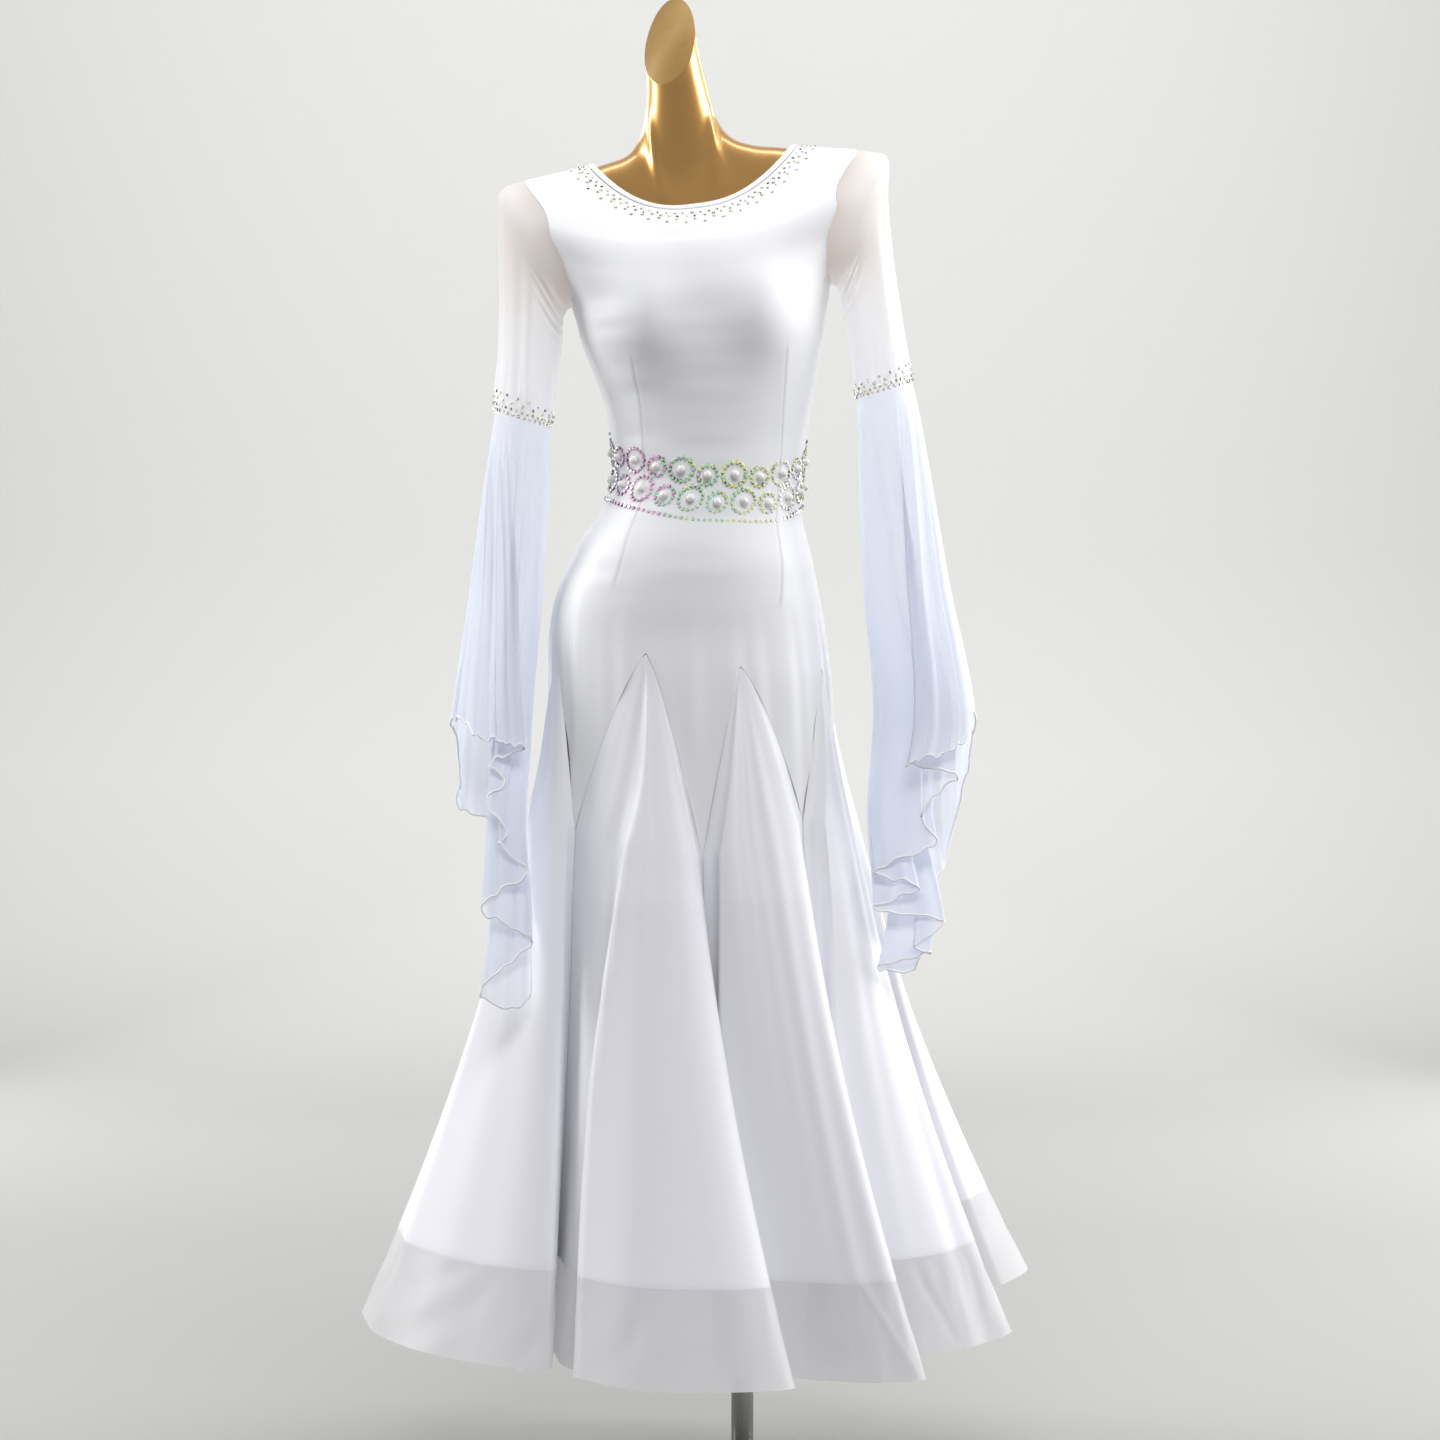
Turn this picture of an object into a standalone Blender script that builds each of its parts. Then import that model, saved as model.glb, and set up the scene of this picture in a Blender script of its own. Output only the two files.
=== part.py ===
"""A ballroom dance dress on a dress form. Metres, +Z up, the wearer faces -Y. The origin is on the floor, on the stand's axis."""

import math

import bmesh
import bpy
import numpy as np
from mathutils import Matrix, Vector

# ---------------------------------------------------------------- dimensions
CLOTH = 0.0012  # thickness of every cloth wall
SEAM_GAP = 0.0003  # between two pieces at a seam
FORM_CLEAR = 0.0045  # dress form's skin inside the cloth's middle surface
BAND_HEIGHT = 0.095  # crinoline band round the hem
BINDING_WIDTH, BINDING_THICK = 0.007, 0.0026
POLE_RADIUS = 0.0125
BASE_RADIUS, BASE_THICK = 0.155, 0.008
FORM_BOTTOM, SOCKET_DEPTH = 0.86, 0.070
HIP_LEVEL = 1.000  # above this a panel's rows are level rings
UNDERARM, SHOULDER, NECKLINE = 1.347, 1.418, 1.437  # ring levels
SKIRT_CENTRE = -0.057

# Rings of the dress from the petals up to the neckline. A ring is named by its height at centre front; q squares its corners, tilt is its rise to +X.
RING = "front_z side_z back_z centre_x half_width front_depth back_depth q tilt"
RINGS = (
    (0.700, 0.700, 0.700, -0.0560, 0.1640, 0.1270, 0.1320, 0.12, 0.000),
    (0.780, 0.780, 0.780, -0.0565, 0.1610, 0.1220, 0.1300, 0.12, 0.000),
    (0.860, 0.860, 0.860, -0.0570, 0.1580, 0.1160, 0.1270, 0.12, 0.000),
    (0.930, 0.930, 0.930, -0.0583, 0.1551, 0.1110, 0.1240, 0.12, 0.000),
    (0.967, 0.967, 0.967, -0.0605, 0.1529, 0.1080, 0.1220, 0.12, 0.000),
    (1.004, 1.004, 1.004, -0.0611, 0.1480, 0.1060, 0.1190, 0.11, 0.000),
    (1.030, 1.030, 1.030, -0.0600, 0.1414, 0.1030, 0.1140, 0.10, 0.000),
    (1.053, 1.053, 1.053, -0.0567, 0.1337, 0.1000, 0.1080, 0.09, 0.000),
    (1.079, 1.079, 1.079, -0.0539, 0.1243, 0.0960, 0.0990, 0.08, 0.000),
    (1.106, 1.106, 1.106, -0.0473, 0.1122, 0.0915, 0.0880, 0.07, 0.000),
    (1.125, 1.125, 1.125, -0.0424, 0.1073, 0.0890, 0.0825, 0.06, 0.000),
    (1.154, 1.154, 1.154, -0.0380, 0.1040, 0.0870, 0.0780, 0.06, 0.000),
    (1.180, 1.180, 1.180, -0.0374, 0.1057, 0.0880, 0.0775, 0.06, 0.002),
    (1.224, 1.224, 1.224, -0.0374, 0.1122, 0.0940, 0.0840, 0.07, 0.008),
    (1.267, 1.267, 1.267, -0.0407, 0.1232, 0.1020, 0.0910, 0.08, 0.025),
    (1.303, 1.303, 1.303, -0.0435, 0.1326, 0.1070, 0.0970, 0.09, 0.055),
    (1.347, 1.347, 1.347, -0.0455, 0.1405, 0.1080, 0.1010, 0.10, 0.090),
    (1.375, 1.398, 1.378, -0.0515, 0.1660, 0.1040, 0.1000, 0.10, 0.092),
    (1.400, 1.472, 1.412, -0.0545, 0.2060, 0.0960, 0.0930, 0.08, 0.093),
    (1.409, 1.484, 1.422, -0.0560, 0.1960, 0.0900, 0.0880, 0.06, 0.093),
    (1.418, 1.488, 1.434, -0.0567, 0.1787, 0.0840, 0.0820, 0.04, 0.093),
    (1.428, 1.493, 1.448, -0.0558, 0.1460, 0.0760, 0.0760, 0.02, 0.094),
    (1.437, 1.498, 1.462, -0.0548, 0.1142, 0.0680, 0.0700, 0.00, 0.096),
)
# The dress form goes on from the neckline to the top of its neck.
NECK_RINGS = (
    (1.452, 1.502, 1.474, -0.0555, 0.0940, 0.0600, 0.0640, 0.00, 0.095),
    (1.470, 1.506, 1.486, -0.0580, 0.0730, 0.0520, 0.0580, 0.00, 0.090),
    (1.492, 1.515, 1.502, -0.0635, 0.0560, 0.0465, 0.0520, 0.00, 0.070),
    (1.520, 1.532, 1.524, -0.0675, 0.0455, 0.0440, 0.0490, 0.00, 0.040),
    (1.560, 1.562, 1.562, -0.0705, 0.0385, 0.0410, 0.0450, 0.00, 0.010),
    (1.605, 1.605, 1.605, -0.0765, 0.0340, 0.0390, 0.0410, 0.00, 0.000),
    (1.650, 1.650, 1.650, -0.0815, 0.0305, 0.0370, 0.0390, 0.00, 0.000),
    (1.700, 1.700, 1.700, -0.0860, 0.0285, 0.0355, 0.0380, 0.00, 0.000),
)
BUSTS = ((-0.070, 1.322), (0.070, 1.332))  # from the ring's centre, height
BUST_RISE, BUST_WIDE, BUST_TALL = 0.021, 0.046, 0.052

# How far round each panel reaches at a ring level: 90 is the side or shoulder seam, less is the armhole.
ARMHOLE = (
    (1.347, 90.0),
    (1.352, 76.0),
    (1.360, 66.0),
    (1.375, 55.5),
    (1.390, 48.5),
    (1.400, 46.0),
    (1.407, 50.0),
    (1.413, 61.0),
    (1.418, 90.0),
)

# A row per godet: the angle and height of its tip, then the petal point on its right (-90 is the wearer's right side, 0 the front).
GODETS = (
    (-67.0, 0.972, -47.0, 0.770),
    (-15.0, 0.961, 4.0, 0.742),
    (19.0, 0.947, 45.0, 0.779),
    (65.0, 0.9414, 90.0, 0.765),
    (112.0, 0.950, 135.0, 0.765),
    (158.0, 0.952, 180.0, 0.760),
    (202.0, 0.955, 225.0, 0.765),
    (248.0, 0.960, 270.0, 0.765),
)
# The hem in plan, a row per godet: angle and radius of its seam, ridge, crown, face and leaning edge, then the hem's height.
HEM_AT = (0.0, 0.18, 0.38, 0.62, 0.87)
HEM = (
    ((-122, 0.262), (-103, 0.335), (-82, 0.368), (-55, 0.354), (-28, 0.322), 0.226),
    ((-37, 0.246), (-26, 0.292), (-13.5, 0.341), (-2, 0.361), (18.5, 0.351), 0.222),
    ((6, 0.262), (15, 0.280), (25, 0.322), (33, 0.360), (40, 0.372), 0.216),
    ((29, 0.258), (39, 0.280), (50, 0.332), (59, 0.364), (66.5, 0.366), 0.226),
    ((60, 0.246), (73, 0.292), (88, 0.340), (100, 0.384), (113, 0.368), 0.250),
    ((106, 0.262), (120, 0.312), (133, 0.350), (145, 0.362), (154, 0.352), 0.240),
    ((144, 0.256), (161, 0.316), (177, 0.354), (193, 0.364), (206, 0.354), 0.236),
    ((197, 0.256), (210, 0.320), (222, 0.358), (234, 0.368), (246, 0.356), 0.232),
)

# Sleeve rings from the shoulder down: outer point, inner point (x, z), half depth.
SLEEVES = {
    "right": (  # the wearer's right sleeve, at -X
        (-0.2600, 1.4640, -0.1925, 1.3305, 0.064),
        (-0.2672, 1.4500, -0.1965, 1.3190, 0.057),
        (-0.2645, 1.4200, -0.1985, 1.3050, 0.050),
        (-0.2632, 1.3650, -0.2010, 1.2860, 0.0445),
        (-0.2645, 1.2950, -0.2065, 1.2540, 0.0415),
        (-0.2717, 1.2194, -0.2101, 1.2018, 0.0400),
    ),
    "left": (
        (0.1530, 1.5000, 0.1025, 1.3560, 0.064),
        (0.1595, 1.4880, 0.1065, 1.3450, 0.057),
        (0.1585, 1.4580, 0.1100, 1.3320, 0.050),
        (0.1640, 1.3950, 0.1140, 1.3110, 0.0445),
        (0.1748, 1.3200, 0.1200, 1.2800, 0.0415),
        (0.1860, 1.2513, 0.1254, 1.2337, 0.0400),
    ),
}
# Sleeve flounces' hems, cut to fall in a cascade: round is the angle from the outer side by the front, then x outward and y back from the flounce's middle, and the length there.
FLOUNCES = {
    "right": (
        (0, 0.048, -0.016, 0.330),
        (14, 0.034, -0.032, 0.332),
        (26, 0.019, -0.046, 0.345),
        (50, -0.008, -0.050, 0.350),
        (72, -0.034, -0.044, 0.353),
        (84, -0.014, -0.034, 0.361),
        (94, 0.003, -0.030, 0.369),
        (104, -0.016, -0.024, 0.385),
        (113, 0.003, -0.020, 0.402),
        (124, -0.020, -0.015, 0.434),
        (134, -0.011, -0.011, 0.446),
        (146, -0.039, -0.006, 0.473),
        (160, -0.007, -0.002, 0.491),
        (172, 0.015, 0.003, 0.511),
        (186, -0.016, 0.008, 0.529),
        (198, -0.039, 0.012, 0.546),
        (212, -0.007, 0.017, 0.576),
        (222, 0.015, 0.021, 0.601),
        (233, -0.014, 0.026, 0.618),
        (243, -0.038, 0.032, 0.608),
        (262, -0.029, 0.044, 0.514),
        (285, 0.003, 0.046, 0.437),
        (300, 0.036, 0.040, 0.424),
        (320, 0.036, 0.022, 0.391),
        (342, 0.044, 0.002, 0.350),
    ),
    "left": (
        (0, 0.066, -0.010, 0.360),
        (12, 0.060, -0.029, 0.368),
        (22, 0.052, -0.043, 0.387),
        (45, 0.024, -0.050, 0.399),
        (68, -0.010, -0.044, 0.406),
        (80, 0.020, -0.036, 0.409),
        (90, 0.049, -0.030, 0.417),
        (100, 0.033, -0.024, 0.429),
        (108, 0.017, -0.019, 0.447),
        (122, 0.015, -0.013, 0.462),
        (129, 0.029, -0.009, 0.482),
        (142, -0.013, -0.006, 0.498),
        (152, -0.043, -0.003, 0.511),
        (163, -0.018, 0.001, 0.519),
        (172, 0.005, 0.004, 0.528),
        (182, -0.022, 0.008, 0.539),
        (190, -0.046, 0.012, 0.549),
        (200, -0.007, 0.016, 0.557),
        (210, 0.032, 0.020, 0.564),
        (225, 0.002, 0.025, 0.593),
        (232, 0.022, 0.030, 0.599),
        (250, -0.032, 0.036, 0.617),
        (268, 0.009, 0.045, 0.622),
        (290, 0.023, 0.049, 0.557),
        (310, 0.056, 0.038, 0.465),
        (335, 0.065, 0.012, 0.396),
    ),
}
FLOUNCE_AXIS = {  # height, then x and y of the flounce's middle there
    "right": (
        (0.50, -0.2670, -0.205),
        (0.58, -0.2670, -0.190),
        (0.68, -0.2650, -0.155),
        (0.78, -0.2725, -0.112),
        (0.88, -0.2685, -0.050),
        (1.05, -0.2530, 0.000),
        (1.21, -0.2409, 0.000),
    ),
    "left": (
        (0.55, 0.1740, -0.150),
        (0.61, 0.1765, -0.142),
        (0.68, 0.1870, -0.105),
        (0.78, 0.1810, -0.055),
        (0.88, 0.1885, -0.018),
        (1.05, 0.1700, 0.000),
        (1.2425, 0.1557, 0.000),
    ),
}


# ------------------------------------------------------------------- curves
def through(xs, ys, x):
    """Smooth values at x through the points (xs, ys), with no overshoot."""
    xs, ys, x = np.asarray(xs, float), np.asarray(ys, float), np.asarray(x, float)
    ys = ys.reshape(len(xs), -1)
    h = np.diff(xs)[:, None]
    d = np.diff(ys, axis=0) / h
    m = np.zeros_like(ys)
    same = d[:-1] * d[1:] > 0
    w1, w2 = 2 * h[1:] + h[:-1], h[1:] + 2 * h[:-1]
    with np.errstate(divide="ignore", invalid="ignore"):
        inner = (w1 + w2) / (w1 / d[:-1] + w2 / d[1:])
    m[1:-1] = np.where(same, inner, 0)
    m[0], m[-1] = d[0], d[-1]
    i = np.clip(np.searchsorted(xs, x, "right") - 1, 0, len(xs) - 2)
    t = np.clip((x - xs[i]) / np.diff(xs)[i], 0, 1)[..., None]
    a, b, ma, mb = ys[i], ys[i + 1], m[i] * h[i], m[i + 1] * h[i]
    return (2 * t**3 - 3 * t**2 + 1) * a + (t**3 - 2 * t**2 + t) * ma + (3 * t**2 - 2 * t**3) * b + (t**3 - t**2) * mb


def loop_through(xs, points, period, x):
    """A closed smooth curve through points at xs, as rounded as a fold."""
    xs, points = np.asarray(xs, float), np.asarray(points, float)
    n = len(xs)
    at = np.concatenate([xs[-2:] - period, xs, xs[:2] + period])
    ps = np.concatenate([points[-2:], points, points[:2]])
    m = np.zeros_like(ps)
    m[1:-1] = (ps[2:] - ps[:-2]) / (at[2:] - at[:-2])[:, None]
    x = np.asarray(x, float)
    x = (x - xs[0]) % period + xs[0]
    i = np.clip(np.searchsorted(at, x, "right") - 1, 1, n + 1)
    h = (at[i + 1] - at[i])[..., None]
    t = ((x - at[i]) / (at[i + 1] - at[i]))[..., None]
    return (
        (2 * t**3 - 3 * t**2 + 1) * ps[i]
        + (t**3 - 2 * t**2 + t) * m[i] * h
        + (3 * t**2 - 2 * t**3) * ps[i + 1]
        + (t**3 - t**2) * m[i + 1] * h
    )


# ------------------------------------------------------------ body surface
def ring_values(level, rows=RINGS):
    table = np.array(rows)
    return np.moveaxis(through(table[:, 0], table, level), -1, 0)


def body(angle, level, rows=RINGS):
    """Points of the body's surface: angle in degrees from centre front towards +X, level as in RINGS."""
    angle, level = np.broadcast_arrays(np.asarray(angle, float), np.asarray(level, float))
    front_z, side_z, back_z, cx, half, front, back, q, tilt = ring_values(level, rows)
    s, c = np.sin(np.radians(angle)), np.cos(np.radians(angle))
    depth = np.where(c >= 0, front, back)
    x = half * s * (1 + q * c * c)
    y = -depth * c * (1 + q * s * s)
    side = np.abs(s) ** 2.4
    z = np.where(c >= 0, front_z, back_z) * (1 - side) + side_z * side + tilt * x
    rise = 0
    for bx, bz in BUSTS:
        rise = rise + np.exp(-(((x - bx) / BUST_WIDE) ** 2) - ((z - bz) / BUST_TALL) ** 2)
    y = y - BUST_RISE * np.minimum(rise, 1.0) * np.clip(c, 0, 1) ** 0.8
    return np.stack([cx + x, y, z], -1)


def skin(angle, level, inside, rows=RINGS):
    """The body's surface moved in by inside, along its own slope."""
    turn, rise = 0.5, 0.0015
    across = body(angle + turn, level, rows) - body(angle - turn, level, rows)
    up = body(angle, level + rise, rows) - body(angle, level - rise, rows)
    out = np.cross(across, up)
    out /= np.linalg.norm(out, axis=-1)[..., None]
    return body(angle, level, rows) - out * inside


def armhole_reach(level):
    t = np.array(ARMHOLE)
    level = np.asarray(level, float)
    reach = through(t[:, 0], t[:, 1], level)[..., 0]
    return np.where((level <= UNDERARM) | (level >= SHOULDER), 90.0, reach)


def petal_edge(angle):
    """Height of the panels' lower edge at an angle."""
    a = (np.asarray(angle, float) + 90) % 360 - 90
    tips = [(t, z) for t, z, _, _ in GODETS]
    points = [(-90.0, GODETS[-1][3])] + [(p, z) for _, _, p, z in GODETS]
    out = np.full(a.shape, np.nan)
    for k, (t, tz) in enumerate(tips):
        for p, pz in (points[k], points[k + 1]):
            share = (a - t) / (p - t)
            here = (share >= 0) & (share <= 1)
            out[here] = tz - (tz - pz) * share[here] ** 1.25
    return out


# ------------------------------------------------------------------- skirt
def hem_curve(at):
    """(points in plan, heights) of the hem at godet number at, 0 to 8."""
    xs, ps = [], []
    for k, row in enumerate(HEM):
        for share, (angle, radius) in zip(HEM_AT, row[:5]):
            xs.append(k + share)
            a = math.radians(angle)
            ps.append((SKIRT_CENTRE + radius * math.sin(a), -radius * math.cos(a)))
    plan = loop_through(xs, ps, 8, at)
    mid = [k + 0.5 for k in range(8)]
    height = loop_through(mid, [[row[5]] for row in HEM], 8, at)[..., 0]
    return plan, height


def seams_of(godet, across):
    """Angles of a godet's tip and its two petal points, and the height where its seams meet its neighbours'."""
    tip, tip_z, right, right_z = GODETS[godet]
    left, left_z = (GODETS[godet - 1][2], GODETS[godet - 1][3]) if godet else (-90.0, GODETS[-1][3])
    return tip, tip_z, left, right, left_z + (right_z - left_z) * across


def skirt(godet, across, down):
    """A point of one godet's flute: across 0 to 1 from its left seam to its right one; down 0 at its tip, 1 at the petal points, 2 at the hem."""
    across, down = np.broadcast_arrays(np.asarray(across, float), np.asarray(down, float))
    tip, tip_z, left, right, petal_z = seams_of(godet, across)
    hem, hem_z = hem_curve(godet + across)
    upper, late = np.clip(down, 0, 1), np.clip(down - 1, 0, 1)
    z = tip_z + (petal_z - tip_z) * upper + (hem_z - petal_z) * late
    share = upper**0.8
    near = np.where(across < 0.5, tip - left, right - tip)
    fan = tip + share * (2 * across - 1) * near
    flat = left + (right - left) * across
    angle = fan + (flat - fan) * late**0.7 * 0.6
    base = body(angle, np.maximum(z, 0.70))
    base[..., 2] = z
    under = body(fan, np.full(z.shape, 0.70))
    push = hem - under[..., :2]
    edge = np.abs(2 * across - 1) ** 4
    far = (tip_z - z) / (tip_z - hem_z)
    grow = far**1.6 * (1 - edge) + edge * late**1.25 * (0.6 + 0.4 * late)
    base[..., :2] += push * grow[..., None]
    return base


def band_top(godet, across):
    """How far down a godet the crinoline band starts."""
    petal_z = seams_of(godet, across)[4]
    _, hem_z = hem_curve(godet + across)
    return 2 - BAND_HEIGHT / (petal_z - hem_z)


# ----------------------------------------------------------------- sleeves
def armhole_loop(side, count):
    """Points round the armhole seam: the shoulder, the front, the underarm, then the back."""
    levels = np.concatenate([np.linspace(SHOULDER, 1.4005, 60), np.linspace(1.4, UNDERARM, 60)])
    reach = armhole_reach(levels)
    reach[0] = reach[-1] = 90
    front = body(side * reach, levels)
    back = body(side * (180 - reach), levels)
    loop = np.concatenate([front, back[::-1][1:]])
    far = np.concatenate([[0], np.cumsum(np.linalg.norm(np.diff(loop, axis=0), axis=1))])
    half = far[len(levels) - 1]
    want = np.arange(count) / count
    want = np.where(want <= 0.5, want * 2 * half, half + (want - 0.5) * 2 * (far[-1] - half))
    return np.stack([np.interp(want, far, loop[:, k]) for k in range(3)], -1)


def sleeve_rings(name, count):
    """The sleeve's rings from the armhole to the flounce seam, each with count points."""
    side = -1 if name == "right" else 1
    turn = np.arange(count) / count * 2 * math.pi
    rings = [armhole_loop(side, count)]
    for ox, oz, ix, iz, deep in SLEEVES[name]:
        c, s = np.cos(turn), np.sin(turn)
        mid = np.array([(ox + ix) / 2, 0.0, (oz + iz) / 2])
        half = np.array([(ox - ix) / 2, 0.0, (oz - iz) / 2])
        rings.append(mid + c[:, None] * half + s[:, None] * np.array([0, -deep, 0]))
    rings = np.array(rings)
    step = rings[1] - rings[0]
    rings[0] += step / np.linalg.norm(step, axis=1)[:, None] * (SEAM_GAP + 0.0019)
    return rings


def flounce(name, round_it, down):
    """A point of a sleeve flounce: round_it 0 to 1 from the outer side by the front, down 0 at its seam to 1 at its hem."""
    side = -1 if name == "right" else 1
    table = np.array(FLOUNCES[name])
    at = np.asarray(round_it, float) * 360
    plan = loop_through(table[:, 0], table[:, 1:3], 360, at)
    length = loop_through(table[:, 0], table[:, 3:], 360, at)[..., 0]
    ox, oz, ix, iz, deep = SLEEVES[name][-1]
    turn = np.radians(at)
    top = np.stack(
        [
            (ox + ix) / 2 + (ox - ix) / 2 * np.cos(turn),
            -deep * np.sin(turn),
            (oz + iz) / 2 + (oz - iz) / 2 * np.cos(turn),
        ],
        -1,
    )
    drop = length * down
    z = top[..., 2] - drop - SEAM_GAP * 1.2
    axis = np.array(FLOUNCE_AXIS[name])
    ax, ay = np.moveaxis(through(axis[:, 0], axis[:, 1:], z), -1, 0)
    least, most = table[:, 1:3].min(0), table[:, 1:3].max(0)
    oval = (least + most) / 2 + (most - least) / 2 * np.stack([np.cos(turn), -np.sin(turn)], -1)
    seam = np.stack([side * (top[..., 0] - (ox + ix) / 2), top[..., 1]], -1)
    open_ = np.clip(drop / 0.36, 0, 1)[..., None] ** 0.75
    fold = np.broadcast_to(np.asarray(down, float), z.shape)[..., None] ** 1.3
    place = seam + (oval - seam) * open_ + (plan - oval) * fold
    return np.stack([ax + side * place[..., 0], ay + place[..., 1], z], -1)


# ----------------------------------------------------------------- builders
def clear_scene():
    for obj in list(bpy.data.objects):
        bpy.data.objects.remove(obj)


def material(name, colour, roughness, metallic=0.0):
    m = bpy.data.materials.new(name)
    m.use_nodes = True
    p = m.node_tree.nodes["Principled BSDF"]
    p.inputs["Base Color"].default_value = (*colour, 1)
    p.inputs["Roughness"].default_value = roughness
    p.inputs["Metallic"].default_value = metallic
    return m


def collection(name, hidden=False):
    c = bpy.data.collections.new(name)
    bpy.context.scene.collection.children.link(c)
    c.hide_render = hidden
    return c


def finish_object(bm, name, where, mat, turn_out=True):
    if turn_out:
        bmesh.ops.recalc_face_normals(bm, faces=bm.faces)
        if bm.calc_volume(signed=True) < 0:
            bmesh.ops.reverse_faces(bm, faces=bm.faces)
    mesh = bpy.data.meshes.new(name)
    bm.to_mesh(mesh)
    bm.free()
    obj = bpy.data.objects.new(name, mesh)
    where.objects.link(obj)
    if mat:
        obj.data.materials.append(mat)
    return obj


def cloth(name, points, where, mat, closed=False, tip=False, thick=CLOTH):
    """A cloth piece from rows of points, given an even wall. closed joins the last column to the first, tip gathers the first row to a point."""
    rows, columns = points.shape[:2]
    bm = bmesh.new()
    bmesh.ops.create_grid(bm, x_segments=columns, y_segments=rows - 1, size=1.0) if closed else bmesh.ops.create_grid(
        bm, x_segments=columns - 1, y_segments=rows - 1, size=1.0
    )
    wide = columns if closed else columns - 1
    for v in bm.verts:
        i = round((v.co.x + 1) / 2 * wide) % columns if closed else round((v.co.x + 1) / 2 * wide)
        j = round((v.co.y + 1) / 2 * (rows - 1))
        v.co = Vector(points[j, i])
    bmesh.ops.remove_doubles(bm, verts=bm.verts, dist=1e-7)
    if tip:
        bmesh.ops.remove_doubles(bm, verts=bm.verts, dist=1e-6)
    obj = finish_object(bm, name, where, mat)
    solid = obj.modifiers.new("cloth wall", "SOLIDIFY")
    solid.thickness = thick
    solid.offset = 0
    solid.use_even_offset = True
    solid.use_quality_normals = True
    return obj


def spread(stops, parts):
    """Angles from stop to stop, each step cut in parts."""
    out = []
    for a, b, n in zip(stops, stops[1:], parts):
        out += list(np.linspace(a, b, n, endpoint=False))
    return np.array(out + [stops[-1]])


PETAL_CUTS = 3  # columns from a godet's tip to a petal's point
SEAM_SHARES = (np.arange(1, PETAL_CUTS + 1) / PETAL_CUTS) ** 1.25  # how far down a seam each is


def panel_points(stops, middle, hem_rows, levels):
    """Rows of points for a front or back panel, from the petals up to the neckline."""
    angles = spread(stops, [PETAL_CUTS] * (len(stops) - 1))
    rows = []
    share = (angles - middle) / 90
    side_gap = math.degrees((SEAM_GAP / 2 + 0.0003) / 0.15)
    low = middle + share * (90 - side_gap)
    edge = petal_edge(low) + 0.0044
    for t in hem_rows:
        rows.append(body(low, edge + (HIP_LEVEL - edge) * t))
    for level in levels:
        reach = float(armhole_reach(level)) - side_gap
        rows.append(body(middle + share * reach, np.full(share.shape, level)))
    return np.array(rows)


PANEL_LEVELS = (1.0, 1.05, 1.10, 1.15, 1.21, 1.27, 1.31, UNDERARM, 1.370, 1.390, 1.401, 1.410, SHOULDER, 1.4365)


def build_panels(where, mat):
    hem_rows = (0.0, 0.25, 0.50, 0.75)
    front = [-90] + [a for k in range(4) for a in (GODETS[k][0], GODETS[k][2])]
    back = [90] + [a for k in range(4, 8) for a in (GODETS[k][0], GODETS[k][2])]
    for name, stops, middle in (("front_panel", front, 0), ("back_panel", back, 180)):
        cloth(name, panel_points(stops, middle, hem_rows, PANEL_LEVELS), where, mat)


def build_godets(where, mat):
    downs = [0.0, *SEAM_SHARES, 1.22, 1.48, 1.74]
    for k in range(8):
        across = across_godet(11)
        last = band_top(k, across) - 2 * SEAM_GAP
        points = np.array([skirt(k, across, d) for d in downs + [last]])
        points = keep_clear(points, np.array([0.0011 if d <= 1 else 0.0030 for d in downs] + [0.0030])[:, None])
        points[0] = points[0].mean(0) - (0, 0, 0.002)
        cloth(f"godet_{k + 1}", points, where, mat, tip=True)


def across_godet(count):
    """Places across a godet, closer together by its seams."""
    return 0.5 - 0.5 * np.cos(np.linspace(0, math.pi, count))


def keep_clear(points, by):
    """Draws both side edges in by a seam's gap."""
    left = points[:, 1] - points[:, 0]
    right = points[:, -2] - points[:, -1]
    for column, way in ((0, left), (-1, right)):
        size = np.maximum(np.linalg.norm(way, axis=1), 1e-9)[:, None]
        points[:, column] += way / size * np.minimum(by, size * 0.45)
    return points


def build_band(where, mat):
    across, rows = across_godet(11)[:-1], []
    for t in (0.0, 0.5, 1.0):
        tops = [band_top(k, across) + 2 * SEAM_GAP for k in range(8)]
        rows.append(np.concatenate([skirt(k, across, top + (2 - top) * t) for k, top in enumerate(tops)]))
    cloth("hem_band", np.array(rows), where, mat, closed=True)


def build_sleeves(where, mat):
    for name in ("right", "left"):
        cloth(f"{name}_sleeve", sleeve_rings(name, 14), where, mat, closed=True)


def build_flounces(where, mat):
    for name in ("right", "left"):
        at = np.array(FLOUNCES[name])[:, 0] / 360
        rows = [flounce(name, at, np.full(at.shape, t)) for t in (0.0, 0.12, 0.28, 0.48, 0.72, 1.0)]
        cloth(f"{name}_flounce", np.array(rows), where, mat, closed=True)


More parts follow.
